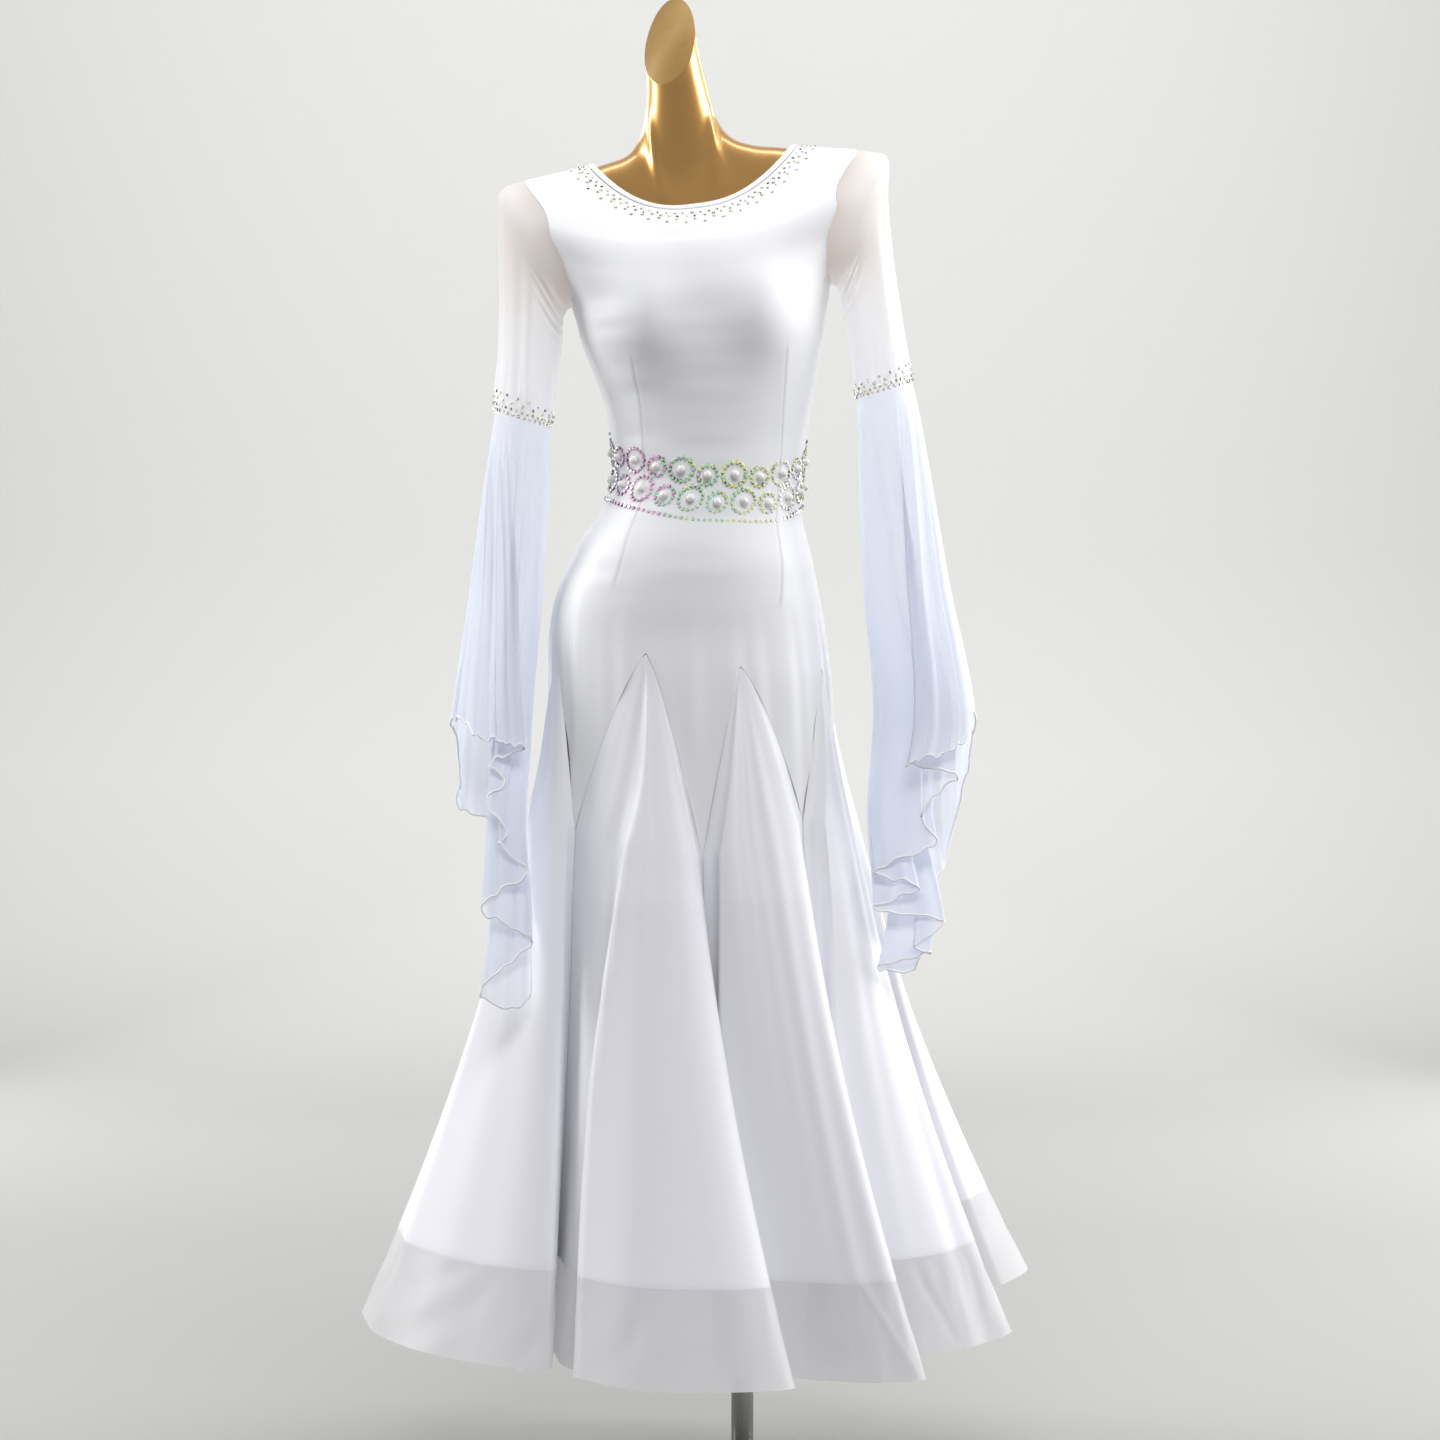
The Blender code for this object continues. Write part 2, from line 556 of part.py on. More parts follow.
def build_binding(where, mat):
    """The neckline's binding: a closed flat strip with rounded edges."""
    count, turns = 44, 8
    angles = np.arange(count) / count * 360
    inner = body(angles, np.full(count, NECKLINE))
    before = body(angles, np.full(count, NECKLINE - 0.006))
    up = inner - before
    up /= np.linalg.norm(up, axis=1)[:, None]
    along = np.roll(inner, -1, 0) - np.roll(inner, 1, 0)
    along /= np.linalg.norm(along, axis=1)[:, None]
    out = np.cross(along, up)
    out /= np.linalg.norm(out, axis=1)[:, None]
    mid = inner + up * (BINDING_WIDTH / 2 + SEAM_GAP)
    rows = []
    for k in range(turns):
        a = 2 * math.pi * (k + 0.5) / turns
        c, s = math.cos(a), math.sin(a)
        rows.append(mid + up * (c * BINDING_WIDTH / 2) + out * (s * BINDING_THICK / 2))
    points = np.array(rows)
    bm = bmesh.new()
    bmesh.ops.create_grid(bm, x_segments=count, y_segments=turns, size=1.0)
    for v in bm.verts:
        i = round((v.co.x + 1) / 2 * count) % count
        j = round((v.co.y + 1) / 2 * turns) % turns
        v.co = Vector(points[j, i])
    bmesh.ops.remove_doubles(bm, verts=bm.verts, dist=1e-7)
    finish_object(bm, "neck_binding", where, mat)


def cutter(name, where, size, place, normal):
    """A block whose lower face passes through place, with normal pointing into the block."""
    bm = bmesh.new()
    bmesh.ops.create_cube(bm, size=size)
    turn = Vector((0, 0, 1)).rotation_difference(Vector(normal).normalized()).to_matrix().to_4x4()
    bm.transform(Matrix.Translation(Vector(place)) @ turn @ Matrix.Translation((0, 0, size / 2)))
    obj = finish_object(bm, name, where, None)
    obj.display_type = "WIRE"
    obj.hide_render = True
    return obj


def build_form(where, cutters, mat):
    """The dress form: hips to neck, inside the cloth, with a slanted neck cut, slanted shoulder cuts and a socket for the pole."""
    count = 40
    angles = np.arange(count) / count * 360
    rings = []
    for level in (FORM_BOTTOM, 0.90, 0.95) + PANEL_LEVELS:
        armpit = math.exp(-(((level - 1.392) / 0.034) ** 2))  # the form is hollowed a little more under the arm
        rings.append(skin(angles, np.full(count, level), FORM_CLEAR + 0.0095 * armpit))
    foot = rings[0].mean(0)
    for shrink, drop in ((0.96, 0.013), (0.86, 0.022)):
        rings.insert(0, foot + (rings[1 if drop > 0.02 else 0] - foot) * shrink - (0, 0, drop))
    neck = RINGS[-2:] + NECK_RINGS
    rings += [skin(angles, np.full(count, row[0]), FORM_CLEAR, neck) for row in NECK_RINGS]
    rows = rings
    points = np.array(rows)
    bm = bmesh.new()
    bmesh.ops.create_grid(bm, x_segments=count, y_segments=len(points) - 1, size=1.0)
    for v in bm.verts:
        i = round((v.co.x + 1) / 2 * count) % count
        j = round((v.co.y + 1) / 2 * (len(points) - 1))
        v.co = Vector(points[j, i])
    bmesh.ops.remove_doubles(bm, verts=bm.verts, dist=1e-6)
    bmesh.ops.holes_fill(bm, edges=[e for e in bm.edges if e.is_boundary], sides=0)
    form = finish_object(bm, "dress_form", where, mat)
    cuts = [
        cutter("neck_cut", cutters, 0.4, (-0.0835, 0, 1.620), (-0.408, -0.734, 0.543)),
        cutter("right_shoulder_cut", cutters, 0.3, (-0.2325, 0, 1.4052), (-0.862, 0, -0.506)),
        cutter("left_shoulder_cut", cutters, 0.3, (0.1310, 0, 1.4410), (0.945, 0, -0.327)),
    ]
    bm = bmesh.new()
    bmesh.ops.create_cone(bm, cap_ends=True, segments=24, radius1=POLE_RADIUS + 0.0004, radius2=POLE_RADIUS + 0.0004, depth=0.2)
    bm.transform(Matrix.Translation((0, 0, FORM_BOTTOM - 0.022 + SOCKET_DEPTH - 0.1)))
    hole = finish_object(bm, "pole_socket_cut", cutters, None)
    hole.display_type, hole.hide_render = "WIRE", True
    for cut in cuts + [hole]:
        m = form.modifiers.new(cut.name, "BOOLEAN")
        m.operation, m.object, m.solver = "DIFFERENCE", cut, "EXACT"
    return form


def build_stand(where, steel):
    bm = bmesh.new()
    bmesh.ops.create_cone(bm, cap_ends=True, segments=72, radius1=BASE_RADIUS, radius2=BASE_RADIUS, depth=BASE_THICK)
    rim = [e for e in bm.edges if all(v.co.z > 0 for v in e.verts) and len(e.link_faces) == 2]
    bmesh.ops.bevel(bm, geom=rim, offset=0.002, segments=2, affect="EDGES", profile=0.5, material=-1)
    bm.transform(Matrix.Translation((0, 0, BASE_THICK / 2)))
    finish_object(bm, "base_plate", where, steel)
    top = FORM_BOTTOM - 0.022 + SOCKET_DEPTH - 0.0004
    bm = bmesh.new()
    bmesh.ops.create_cone(bm, cap_ends=True, segments=24, radius1=POLE_RADIUS, radius2=POLE_RADIUS, depth=top - BASE_THICK - 0.0002)
    bm.transform(Matrix.Translation((0, 0, (top + BASE_THICK + 0.0002) / 2)))
    finish_object(bm, "pole", where, steel)


def main():
    clear_scene()
    dress = collection("ballroom_dance_dress")
    cutters = collection("cutters", hidden=True)
    jersey = material("white_jersey", (0.86, 0.86, 0.89), 0.55)
    sheer = material("white_mesh", (0.90, 0.90, 0.93), 0.65)
    chiffon = material("white_chiffon", (0.80, 0.80, 0.90), 0.75)
    crinoline = material("crinoline", (0.80, 0.80, 0.82), 0.45)
    gold = material("gold_lacquer", (0.62, 0.40, 0.14), 0.22, 0.85)
    steel = material("steel", (0.55, 0.55, 0.56), 0.3, 1.0)
    build_panels(dress, jersey)
    build_binding(dress, jersey)
    build_sleeves(dress, sheer)
    build_flounces(dress, chiffon)
    build_godets(dress, jersey)
    build_band(dress, crinoline)
    build_form(dress, cutters, gold)
    build_stand(dress, steel)


main()
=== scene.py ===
"""A white ballroom dance dress on a gold dress form: cloth, stones, stand, light and camera."""

import itertools
import math

import bmesh
import bpy
import numpy as np
from mathutils import Matrix, Vector


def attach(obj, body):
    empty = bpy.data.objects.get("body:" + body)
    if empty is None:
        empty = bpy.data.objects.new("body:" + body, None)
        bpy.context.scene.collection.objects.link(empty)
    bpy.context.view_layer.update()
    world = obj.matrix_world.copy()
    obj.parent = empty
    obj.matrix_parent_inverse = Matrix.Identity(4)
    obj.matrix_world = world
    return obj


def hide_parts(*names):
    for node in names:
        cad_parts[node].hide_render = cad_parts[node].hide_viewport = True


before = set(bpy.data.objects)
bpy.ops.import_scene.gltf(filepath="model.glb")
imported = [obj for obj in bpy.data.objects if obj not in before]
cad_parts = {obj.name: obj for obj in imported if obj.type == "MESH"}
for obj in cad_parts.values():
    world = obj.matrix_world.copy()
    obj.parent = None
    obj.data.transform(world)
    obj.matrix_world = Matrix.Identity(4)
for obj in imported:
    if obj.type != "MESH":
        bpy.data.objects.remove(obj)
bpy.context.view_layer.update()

# ---------------------------------------------------------------- dimensions
FORM_CLEAR = 0.0034  # the form's skin inside the cloth
SEAM_GAP = 0.0003
BAND_HEIGHT = 0.095  # crinoline band round the hem
BAND_TUCK = 0.005  # how far its top goes up behind the godets, as a share of their lower part
BINDING_WIDTH, BINDING_THICK = 0.007, 0.0026
POLE_RADIUS = 0.0125
BASE_RADIUS, BASE_THICK = 0.155, 0.008
FORM_BOTTOM, SOCKET_DEPTH = 0.86, 0.070
HIP_LEVEL, HIP_RADIUS = 1.000, 0.15  # above this level a panel's rows are level rings
UNDERARM, SHOULDER, PANEL_TOP, NECKLINE = 1.347, 1.418, 1.4368, 1.437  # ring levels
LOWEST_RING, SKIRT_CENTRE = 0.700, -0.057
STONE = 0.0042  # across a neck or sleeve stone
BELT_STONE = 0.0057
PEARL = 0.0088
CLOTH_THICK = 0.0008  # jersey
HEM_CORD = 0.0011  # radius of a flounce's rolled hem
FOOT_ROUND = 0.022  # how far the form's foot rounds under
SOCKET_PLAY = 0.0004
NECK_LOW, NECK_TOP = 1.440, 1.700  # ring levels of the form's neck
SKIRT_MIDDLE = (SKIRT_CENTRE, 0.0)  # in plan

# Rings of the dress from the petals up to the neckline: heights at centre front, side and centre back, centre x,
# half width, front and back depth, how square the corners are, and the rise to +X. A ring is named by its height
# at centre front, and a level ring states that height only.
LEVEL_RINGS = (
    (0.700, -0.0560, 0.1640, 0.1270, 0.1320, 0.12, 0.000),
    (0.780, -0.0565, 0.1610, 0.1220, 0.1300, 0.12, 0.000),
    (0.860, -0.0570, 0.1580, 0.1160, 0.1270, 0.12, 0.000),
    (0.930, -0.0583, 0.1551, 0.1110, 0.1240, 0.12, 0.000),
    (0.967, -0.0605, 0.1529, 0.1080, 0.1220, 0.12, 0.000),
    (1.004, -0.0611, 0.1480, 0.1060, 0.1190, 0.11, 0.000),
    (1.030, -0.0600, 0.1414, 0.1030, 0.1140, 0.10, 0.000),
    (1.053, -0.0567, 0.1337, 0.1000, 0.1080, 0.09, 0.000),
    (1.079, -0.0539, 0.1243, 0.0960, 0.0990, 0.08, 0.000),
    (1.106, -0.0473, 0.1122, 0.0915, 0.0880, 0.07, 0.000),
    (1.125, -0.0424, 0.1073, 0.0890, 0.0825, 0.06, 0.000),
    (1.154, -0.0380, 0.1040, 0.0870, 0.0780, 0.06, 0.000),
    (1.180, -0.0374, 0.1057, 0.0880, 0.0775, 0.06, 0.002),
    (1.224, -0.0374, 0.1122, 0.0940, 0.0840, 0.07, 0.008),
    (1.267, -0.0407, 0.1232, 0.1020, 0.0910, 0.08, 0.025),
    (1.303, -0.0435, 0.1326, 0.1070, 0.0970, 0.09, 0.055),
    (1.347, -0.0455, 0.1405, 0.1080, 0.1010, 0.10, 0.090),
)
RINGS = tuple((ring[0],) * 3 + ring[1:] for ring in LEVEL_RINGS) + (
    (1.375, 1.398, 1.378, -0.0515, 0.1660, 0.1040, 0.1000, 0.10, 0.092),
    (1.400, 1.472, 1.412, -0.0545, 0.2060, 0.0960, 0.0930, 0.08, 0.093),
    (1.409, 1.484, 1.422, -0.0560, 0.1960, 0.0900, 0.0880, 0.06, 0.093),
    (1.418, 1.488, 1.434, -0.0567, 0.1787, 0.0840, 0.0820, 0.04, 0.093),
    (1.428, 1.493, 1.448, -0.0558, 0.1460, 0.0760, 0.0760, 0.02, 0.094),
    (1.437, 1.498, 1.462, -0.0548, 0.1142, 0.0680, 0.0700, 0.00, 0.096),
)
# The dress form goes on from the neckline to the top of its neck.
NECK_RINGS = (
    (1.452, 1.502, 1.474, -0.0555, 0.0940, 0.0600, 0.0640, 0.00, 0.095),
    (1.470, 1.506, 1.486, -0.0580, 0.0730, 0.0520, 0.0580, 0.00, 0.090),
    (1.492, 1.515, 1.502, -0.0635, 0.0560, 0.0465, 0.0520, 0.00, 0.070),
    (1.520, 1.532, 1.524, -0.0675, 0.0455, 0.0440, 0.0490, 0.00, 0.040),
    (1.560, 1.562, 1.562, -0.0705, 0.0385, 0.0410, 0.0450, 0.00, 0.010),
    (1.605, 1.605, 1.605, -0.0765, 0.0340, 0.0390, 0.0410, 0.00, 0.000),
    (1.650, 1.650, 1.650, -0.0815, 0.0305, 0.0370, 0.0390, 0.00, 0.000),
    (1.700, 1.700, 1.700, -0.0860, 0.0285, 0.0355, 0.0380, 0.00, 0.000),
)
BUSTS = ((-0.070, 1.322), (0.070, 1.332))  # from the ring's centre, height
BUST_RISE, BUST_WIDE, BUST_TALL = 0.021, 0.046, 0.052

# How far round each panel reaches at a ring level: 90 is the side or shoulder seam, less is the armhole.
ARMHOLE = (
    (1.347, 90.0), (1.352, 76.0), (1.360, 66.0), (1.375, 55.5), (1.390, 48.5), (1.400, 46.0), (1.407, 50.0),
    (1.413, 61.0), (1.418, 90.0),
)

# A row per godet: the angle and height of its tip, then of the petal point on its right. Angle -90 is the wearer's
# right side and 0 the front.
GODETS = (
    (-67.0, 0.972, -47.0, 0.770),
    (-15.0, 0.961, 4.0, 0.742),
    (19.0, 0.947, 45.0, 0.779),
    (65.0, 0.9414, 90.0, 0.765),
    (112.0, 0.950, 135.0, 0.765),
    (158.0, 0.952, 180.0, 0.760),
    (202.0, 0.955, 225.0, 0.765),
    (248.0, 0.960, 270.0, 0.765),
)
# The hem in plan, a row per godet: angle and radius of its seam, ridge, crown, face and leaning edge, then the
# hem's height.
HEM_AT = (0.0, 0.18, 0.38, 0.62, 0.87)
HEM = (
    ((-122, 0.262), (-103, 0.335), (-82, 0.368), (-55, 0.354), (-28, 0.322), 0.226),
    ((-37, 0.246), (-26, 0.292), (-13.5, 0.341), (-2, 0.361), (18.5, 0.351), 0.222),
    ((6, 0.262), (15, 0.280), (25, 0.322), (33, 0.360), (40, 0.372), 0.216),
    ((29, 0.258), (39, 0.280), (50, 0.332), (59, 0.364), (66.5, 0.366), 0.226),
    ((60, 0.246), (73, 0.292), (88, 0.340), (100, 0.384), (113, 0.368), 0.250),
    ((106, 0.262), (120, 0.312), (133, 0.350), (145, 0.362), (154, 0.352), 0.240),
    ((144, 0.256), (161, 0.316), (177, 0.354), (193, 0.364), (206, 0.354), 0.236),
    ((197, 0.256), (210, 0.320), (222, 0.358), (234, 0.368), (246, 0.356), 0.232),
)

# Sleeve rings from the shoulder down: outer point, inner point (x, z), half depth.
SLEEVES = {
    "right": (  # the wearer's right sleeve, at -X
        (-0.2600, 1.4640, -0.1925, 1.3305, 0.064),
        (-0.2672, 1.4500, -0.1965, 1.3190, 0.057),
        (-0.2645, 1.4200, -0.1985, 1.3050, 0.050),
        (-0.2632, 1.3650, -0.2010, 1.2860, 0.0445),
        (-0.2645, 1.2950, -0.2065, 1.2540, 0.0415),
        (-0.2717, 1.2194, -0.2101, 1.2018, 0.0400),
    ),
    "left": (
        (0.1530, 1.5000, 0.1025, 1.3560, 0.064),
        (0.1595, 1.4880, 0.1065, 1.3450, 0.057),
        (0.1585, 1.4580, 0.1100, 1.3320, 0.050),
        (0.1640, 1.3950, 0.1140, 1.3110, 0.0445),
        (0.1748, 1.3200, 0.1200, 1.2800, 0.0415),
        (0.1860, 1.2513, 0.1254, 1.2337, 0.0400),
    ),
}
# Sleeve flounces' hems, cut to fall in a cascade: the angle from the outer side by the front, x outward and y back
# from the flounce's middle, and the length there.
FLOUNCES = {
    "right": (
        (0, 0.048, -0.016, 0.330), (14, 0.034, -0.032, 0.332), (26, 0.019, -0.046, 0.345),
        (50, -0.008, -0.050, 0.350), (72, -0.034, -0.044, 0.353), (84, -0.014, -0.034, 0.361),
        (94, 0.003, -0.030, 0.369), (104, -0.016, -0.024, 0.385), (113, 0.003, -0.020, 0.402),
        (124, -0.020, -0.015, 0.434), (134, -0.011, -0.011, 0.446), (146, -0.039, -0.006, 0.473),
        (160, -0.007, -0.002, 0.491), (172, 0.015, 0.003, 0.511), (186, -0.016, 0.008, 0.529),
        (198, -0.039, 0.012, 0.546), (212, -0.007, 0.017, 0.576), (222, 0.015, 0.021, 0.601),
        (233, -0.014, 0.026, 0.618), (243, -0.038, 0.032, 0.608), (262, -0.029, 0.044, 0.514),
        (285, 0.003, 0.046, 0.437), (300, 0.036, 0.040, 0.424), (320, 0.036, 0.022, 0.391),
        (342, 0.044, 0.002, 0.350),
    ),
    "left": (
        (0, 0.066, -0.010, 0.360), (12, 0.060, -0.029, 0.368), (22, 0.052, -0.043, 0.387),
        (45, 0.024, -0.050, 0.399), (68, -0.010, -0.044, 0.406), (80, 0.020, -0.036, 0.409),
        (90, 0.049, -0.030, 0.417), (100, 0.033, -0.024, 0.429), (108, 0.017, -0.019, 0.447),
        (122, 0.015, -0.013, 0.462), (129, 0.029, -0.009, 0.482), (142, -0.013, -0.006, 0.498),
        (152, -0.043, -0.003, 0.511), (163, -0.018, 0.001, 0.519), (172, 0.005, 0.004, 0.528),
        (182, -0.022, 0.008, 0.539), (190, -0.046, 0.012, 0.549), (200, -0.007, 0.016, 0.557),
        (210, 0.032, 0.020, 0.564), (225, 0.002, 0.025, 0.593), (232, 0.022, 0.030, 0.599),
        (250, -0.032, 0.036, 0.617), (268, 0.009, 0.045, 0.622), (290, 0.023, 0.049, 0.557),
        (310, 0.056, 0.038, 0.465), (335, 0.065, 0.012, 0.396),
    ),
}
FLOUNCE_AXIS = {  # height, then x and y of the flounce's middle there
    "right": (
        (0.50, -0.2670, -0.205), (0.58, -0.2670, -0.190), (0.68, -0.2650, -0.155), (0.78, -0.2725, -0.112),
        (0.88, -0.2685, -0.050), (1.05, -0.2530, 0.000), (1.21, -0.2409, 0.000),
    ),
    "left": (
        (0.55, 0.1740, -0.150), (0.61, 0.1765, -0.142), (0.68, 0.1870, -0.105), (0.78, 0.1810, -0.055),
        (0.88, 0.1885, -0.018), (1.05, 0.1700, 0.000), (1.2425, 0.1557, 0.000),
    ),
}


# ------------------------------------------------------------------- curves
def hermite(t, a, b, slope_a, slope_b):
    """The cubic from a to b at shares t, with the slopes given at its ends."""
    start, end = 2 * t**3 - 3 * t**2 + 1, 3 * t**2 - 2 * t**3
    return start * a + (t**3 - 2 * t**2 + t) * slope_a + end * b + (t**3 - t**2) * slope_b


def through(xs, ys, x):
    """Smooth values at x through the points (xs, ys), with no overshoot."""
    xs, ys, x = np.asarray(xs, float), np.asarray(ys, float), np.asarray(x, float)
    ys = ys.reshape(len(xs), -1)
    h = np.diff(xs)[:, None]
    d = np.diff(ys, axis=0) / h
    m = np.zeros_like(ys)
    w1, w2 = 2 * h[1:] + h[:-1], h[1:] + 2 * h[:-1]
    with np.errstate(divide="ignore", invalid="ignore"):
        inner = (w1 + w2) / (w1 / d[:-1] + w2 / d[1:])
    m[1:-1] = np.where(d[:-1] * d[1:] > 0, inner, 0)
    m[0], m[-1] = d[0], d[-1]
    i = np.clip(np.searchsorted(xs, x, "right") - 1, 0, len(xs) - 2)
    t = np.clip((x - xs[i]) / np.diff(xs)[i], 0, 1)[..., None]
    return hermite(t, ys[i], ys[i + 1], m[i] * h[i], m[i + 1] * h[i])


def loop_through(xs, points, period, x):
    """A closed smooth curve through points at xs, as rounded as a fold."""
    xs, points, x = np.asarray(xs, float), np.asarray(points, float), np.asarray(x, float)
    at = np.concatenate([xs[-2:] - period, xs, xs[:2] + period])
    ps = np.concatenate([points[-2:], points, points[:2]])
    m = np.zeros_like(ps)
    m[1:-1] = (ps[2:] - ps[:-2]) / (at[2:] - at[:-2])[:, None]
    x = (x - xs[0]) % period + xs[0]
    i = np.clip(np.searchsorted(at, x, "right") - 1, 1, len(xs) + 1)
    h = (at[i + 1] - at[i])[..., None]
    return hermite((x - at[i])[..., None] / h, ps[i], ps[i + 1], m[i] * h, m[i + 1] * h)


def table_at(table, x):
    """The second column of a table, smooth at x of its first."""
    xs, ys = np.array(table, float).T
    return through(xs, ys, x)[..., 0]


# ------------------------------------------------------------ body surface
def ring_values(level, rows=RINGS):
    """The nine values of the ring at a level."""
    table = np.array(rows)
    return np.moveaxis(through(table[:, 0], table, level), -1, 0)


def body(angle, level, rows=RINGS):
    """Points of the body's surface: angle in degrees from centre front towards +X, level as in RINGS."""
    angle, level = np.broadcast_arrays(np.asarray(angle, float), np.asarray(level, float))
    front_z, side_z, back_z, cx, half, front, back, q, tilt = ring_values(level, rows)
    s, c = np.sin(np.radians(angle)), np.cos(np.radians(angle))
    depth = np.where(c >= 0, front, back)
    x = half * s * (1 + q * c * c)
    y = -depth * c * (1 + q * s * s)
    side = np.abs(s) ** 2.4
    z = np.where(c >= 0, front_z, back_z) * (1 - side) + side_z * side + tilt * x
    rise = 0
    for bx, bz in BUSTS:
        rise = rise + np.exp(-(((x - bx) / BUST_WIDE) ** 2) - ((z - bz) / BUST_TALL) ** 2)
    y = y - BUST_RISE * np.minimum(rise, 1.0) * np.clip(c, 0, 1) ** 0.8
    return np.stack([cx + x, y, z], -1)


def skin(angle, level, inside, rows=RINGS):
    """The body's surface moved in by inside, along its own slope."""
    turn, rise = 0.5, 0.0015
    across = body(angle + turn, level, rows) - body(angle - turn, level, rows)
    up = body(angle, level + rise, rows) - body(angle, level - rise, rows)
    out = np.cross(across, up)
    out /= np.linalg.norm(out, axis=-1)[..., None]
    return body(angle, level, rows) - out * inside


def armhole_reach(level):
    """How far round a panel reaches at a level, in degrees from its middle."""
    level = np.asarray(level, float)
    return np.where((level <= UNDERARM) | (level >= SHOULDER), 90.0, table_at(ARMHOLE, level))


def petal_edge(angle):
    """Height of the panels' lower edge at an angle."""
    a = (np.asarray(angle, float) + 90) % 360 - 90
    points = [(-90.0, GODETS[-1][3])] + [(p, z) for _, _, p, z in GODETS]
    out = np.full(a.shape, np.nan)
    for k, (t, tz, _, _) in enumerate(GODETS):
        for p, pz in (points[k], points[k + 1]):
            share = (a - t) / (p - t)
            here = (share >= 0) & (share <= 1)
            out[here] = tz - (tz - pz) * share[here] ** 1.25
    return out


# ------------------------------------------------------------------- skirt
def hem_curve(at):
    """(points in plan, heights) of the hem at godet number at, 0 to 8."""
    xs, ps = [], []
    for k, row in enumerate(HEM):
        for share, (angle, radius) in zip(HEM_AT, row[:5]):
            xs.append(k + share)
            a = math.radians(angle)
            ps.append((SKIRT_CENTRE + radius * math.sin(a), -radius * math.cos(a)))
    plan = loop_through(xs, ps, len(HEM), at)
    middles = [k + 0.5 for k in range(len(HEM))]
    height = loop_through(middles, [[row[5]] for row in HEM], len(HEM), at)[..., 0]
    return plan, height


def seams_of(godet, across):
    """A godet's tip angle and height, its two petal points' angles, and the height where its seams meet others."""
    tip, tip_z, right, right_z = GODETS[godet]
    left, left_z = (GODETS[godet - 1][2], GODETS[godet - 1][3]) if godet else (-90.0, GODETS[-1][3])
    return tip, tip_z, left, right, left_z + (right_z - left_z) * across


def skirt(godet, across, down):
    """A point of one godet's flute: across 0 to 1 from its left seam to its right one; down 0 at its tip, 1 at the
    petal points, 2 at the hem."""
    across, down = np.broadcast_arrays(np.asarray(across, float), np.asarray(down, float))
    tip, tip_z, left, right, petal_z = seams_of(godet, across)
    hem, hem_z = hem_curve(godet + across)
    upper, late = np.clip(down, 0, 1), np.clip(down - 1, 0, 1)
    z = tip_z + (petal_z - tip_z) * upper + (hem_z - petal_z) * late
    share = upper**0.8
    near = np.where(across < 0.5, tip - left, right - tip)
    fan = tip + share * (2 * across - 1) * near
    flat = left + (right - left) * across
    angle = fan + (flat - fan) * late**0.7 * 0.6
    base = body(angle, np.maximum(z, LOWEST_RING))
    base[..., 2] = z
    under = body(fan, LOWEST_RING)
    push = hem - under[..., :2]
    edge = np.abs(2 * across - 1) ** 4
    far = (tip_z - z) / (tip_z - hem_z)
    grow = far**1.6 * (1 - edge) + edge * late**1.25 * (0.6 + 0.4 * late)
    base[..., :2] += push * grow[..., None]
    return base


def band_top(godet, across):
    """How far down a godet the crinoline band starts."""
    petal_z = seams_of(godet, across)[4]
    _, hem_z = hem_curve(godet + across)
    return 2 - BAND_HEIGHT / (petal_z - hem_z)


# ----------------------------------------------------------------- sleeves
def armhole_loop(side, count):
    """Points round the armhole seam: the shoulder, the front, the underarm, then the back."""
    levels = np.concatenate([np.linspace(SHOULDER, 1.4005, 60), np.linspace(1.4, UNDERARM, 60)])
    reach = armhole_reach(levels)
    reach[0] = reach[-1] = 90
    front = body(side * reach, levels)
    back = body(side * (180 - reach), levels)
    loop = np.concatenate([front, back[::-1][1:]])
    far = np.concatenate([[0], np.cumsum(np.linalg.norm(np.diff(loop, axis=0), axis=1))])
    half = far[len(levels) - 1]
    want = np.arange(count) / count
    want = np.where(want <= 0.5, want * 2 * half, half + (want - 0.5) * 2 * (far[-1] - half))
    return np.stack([np.interp(want, far, loop[:, k]) for k in range(3)], -1)


def sleeve_rings(name, count):
    """The sleeve's rings from the armhole to the flounce seam, each with count points."""
    side = -1 if name == "right" else 1
    turn = np.arange(count) / count * 2 * math.pi
    rings = [armhole_loop(side, count)]
    for ox, oz, ix, iz, deep in SLEEVES[name]:
        c, s = np.cos(turn), np.sin(turn)
        mid = np.array([(ox + ix) / 2, 0.0, (oz + iz) / 2])
        half = np.array([(ox - ix) / 2, 0.0, (oz - iz) / 2])
        rings.append(mid + c[:, None] * half + s[:, None] * np.array([0, -deep, 0]))
    rings = np.array(rings)
    step = rings[1] - rings[0]
    rings[0] += step / np.linalg.norm(step, axis=1)[:, None] * SEAM_GAP
    return rings


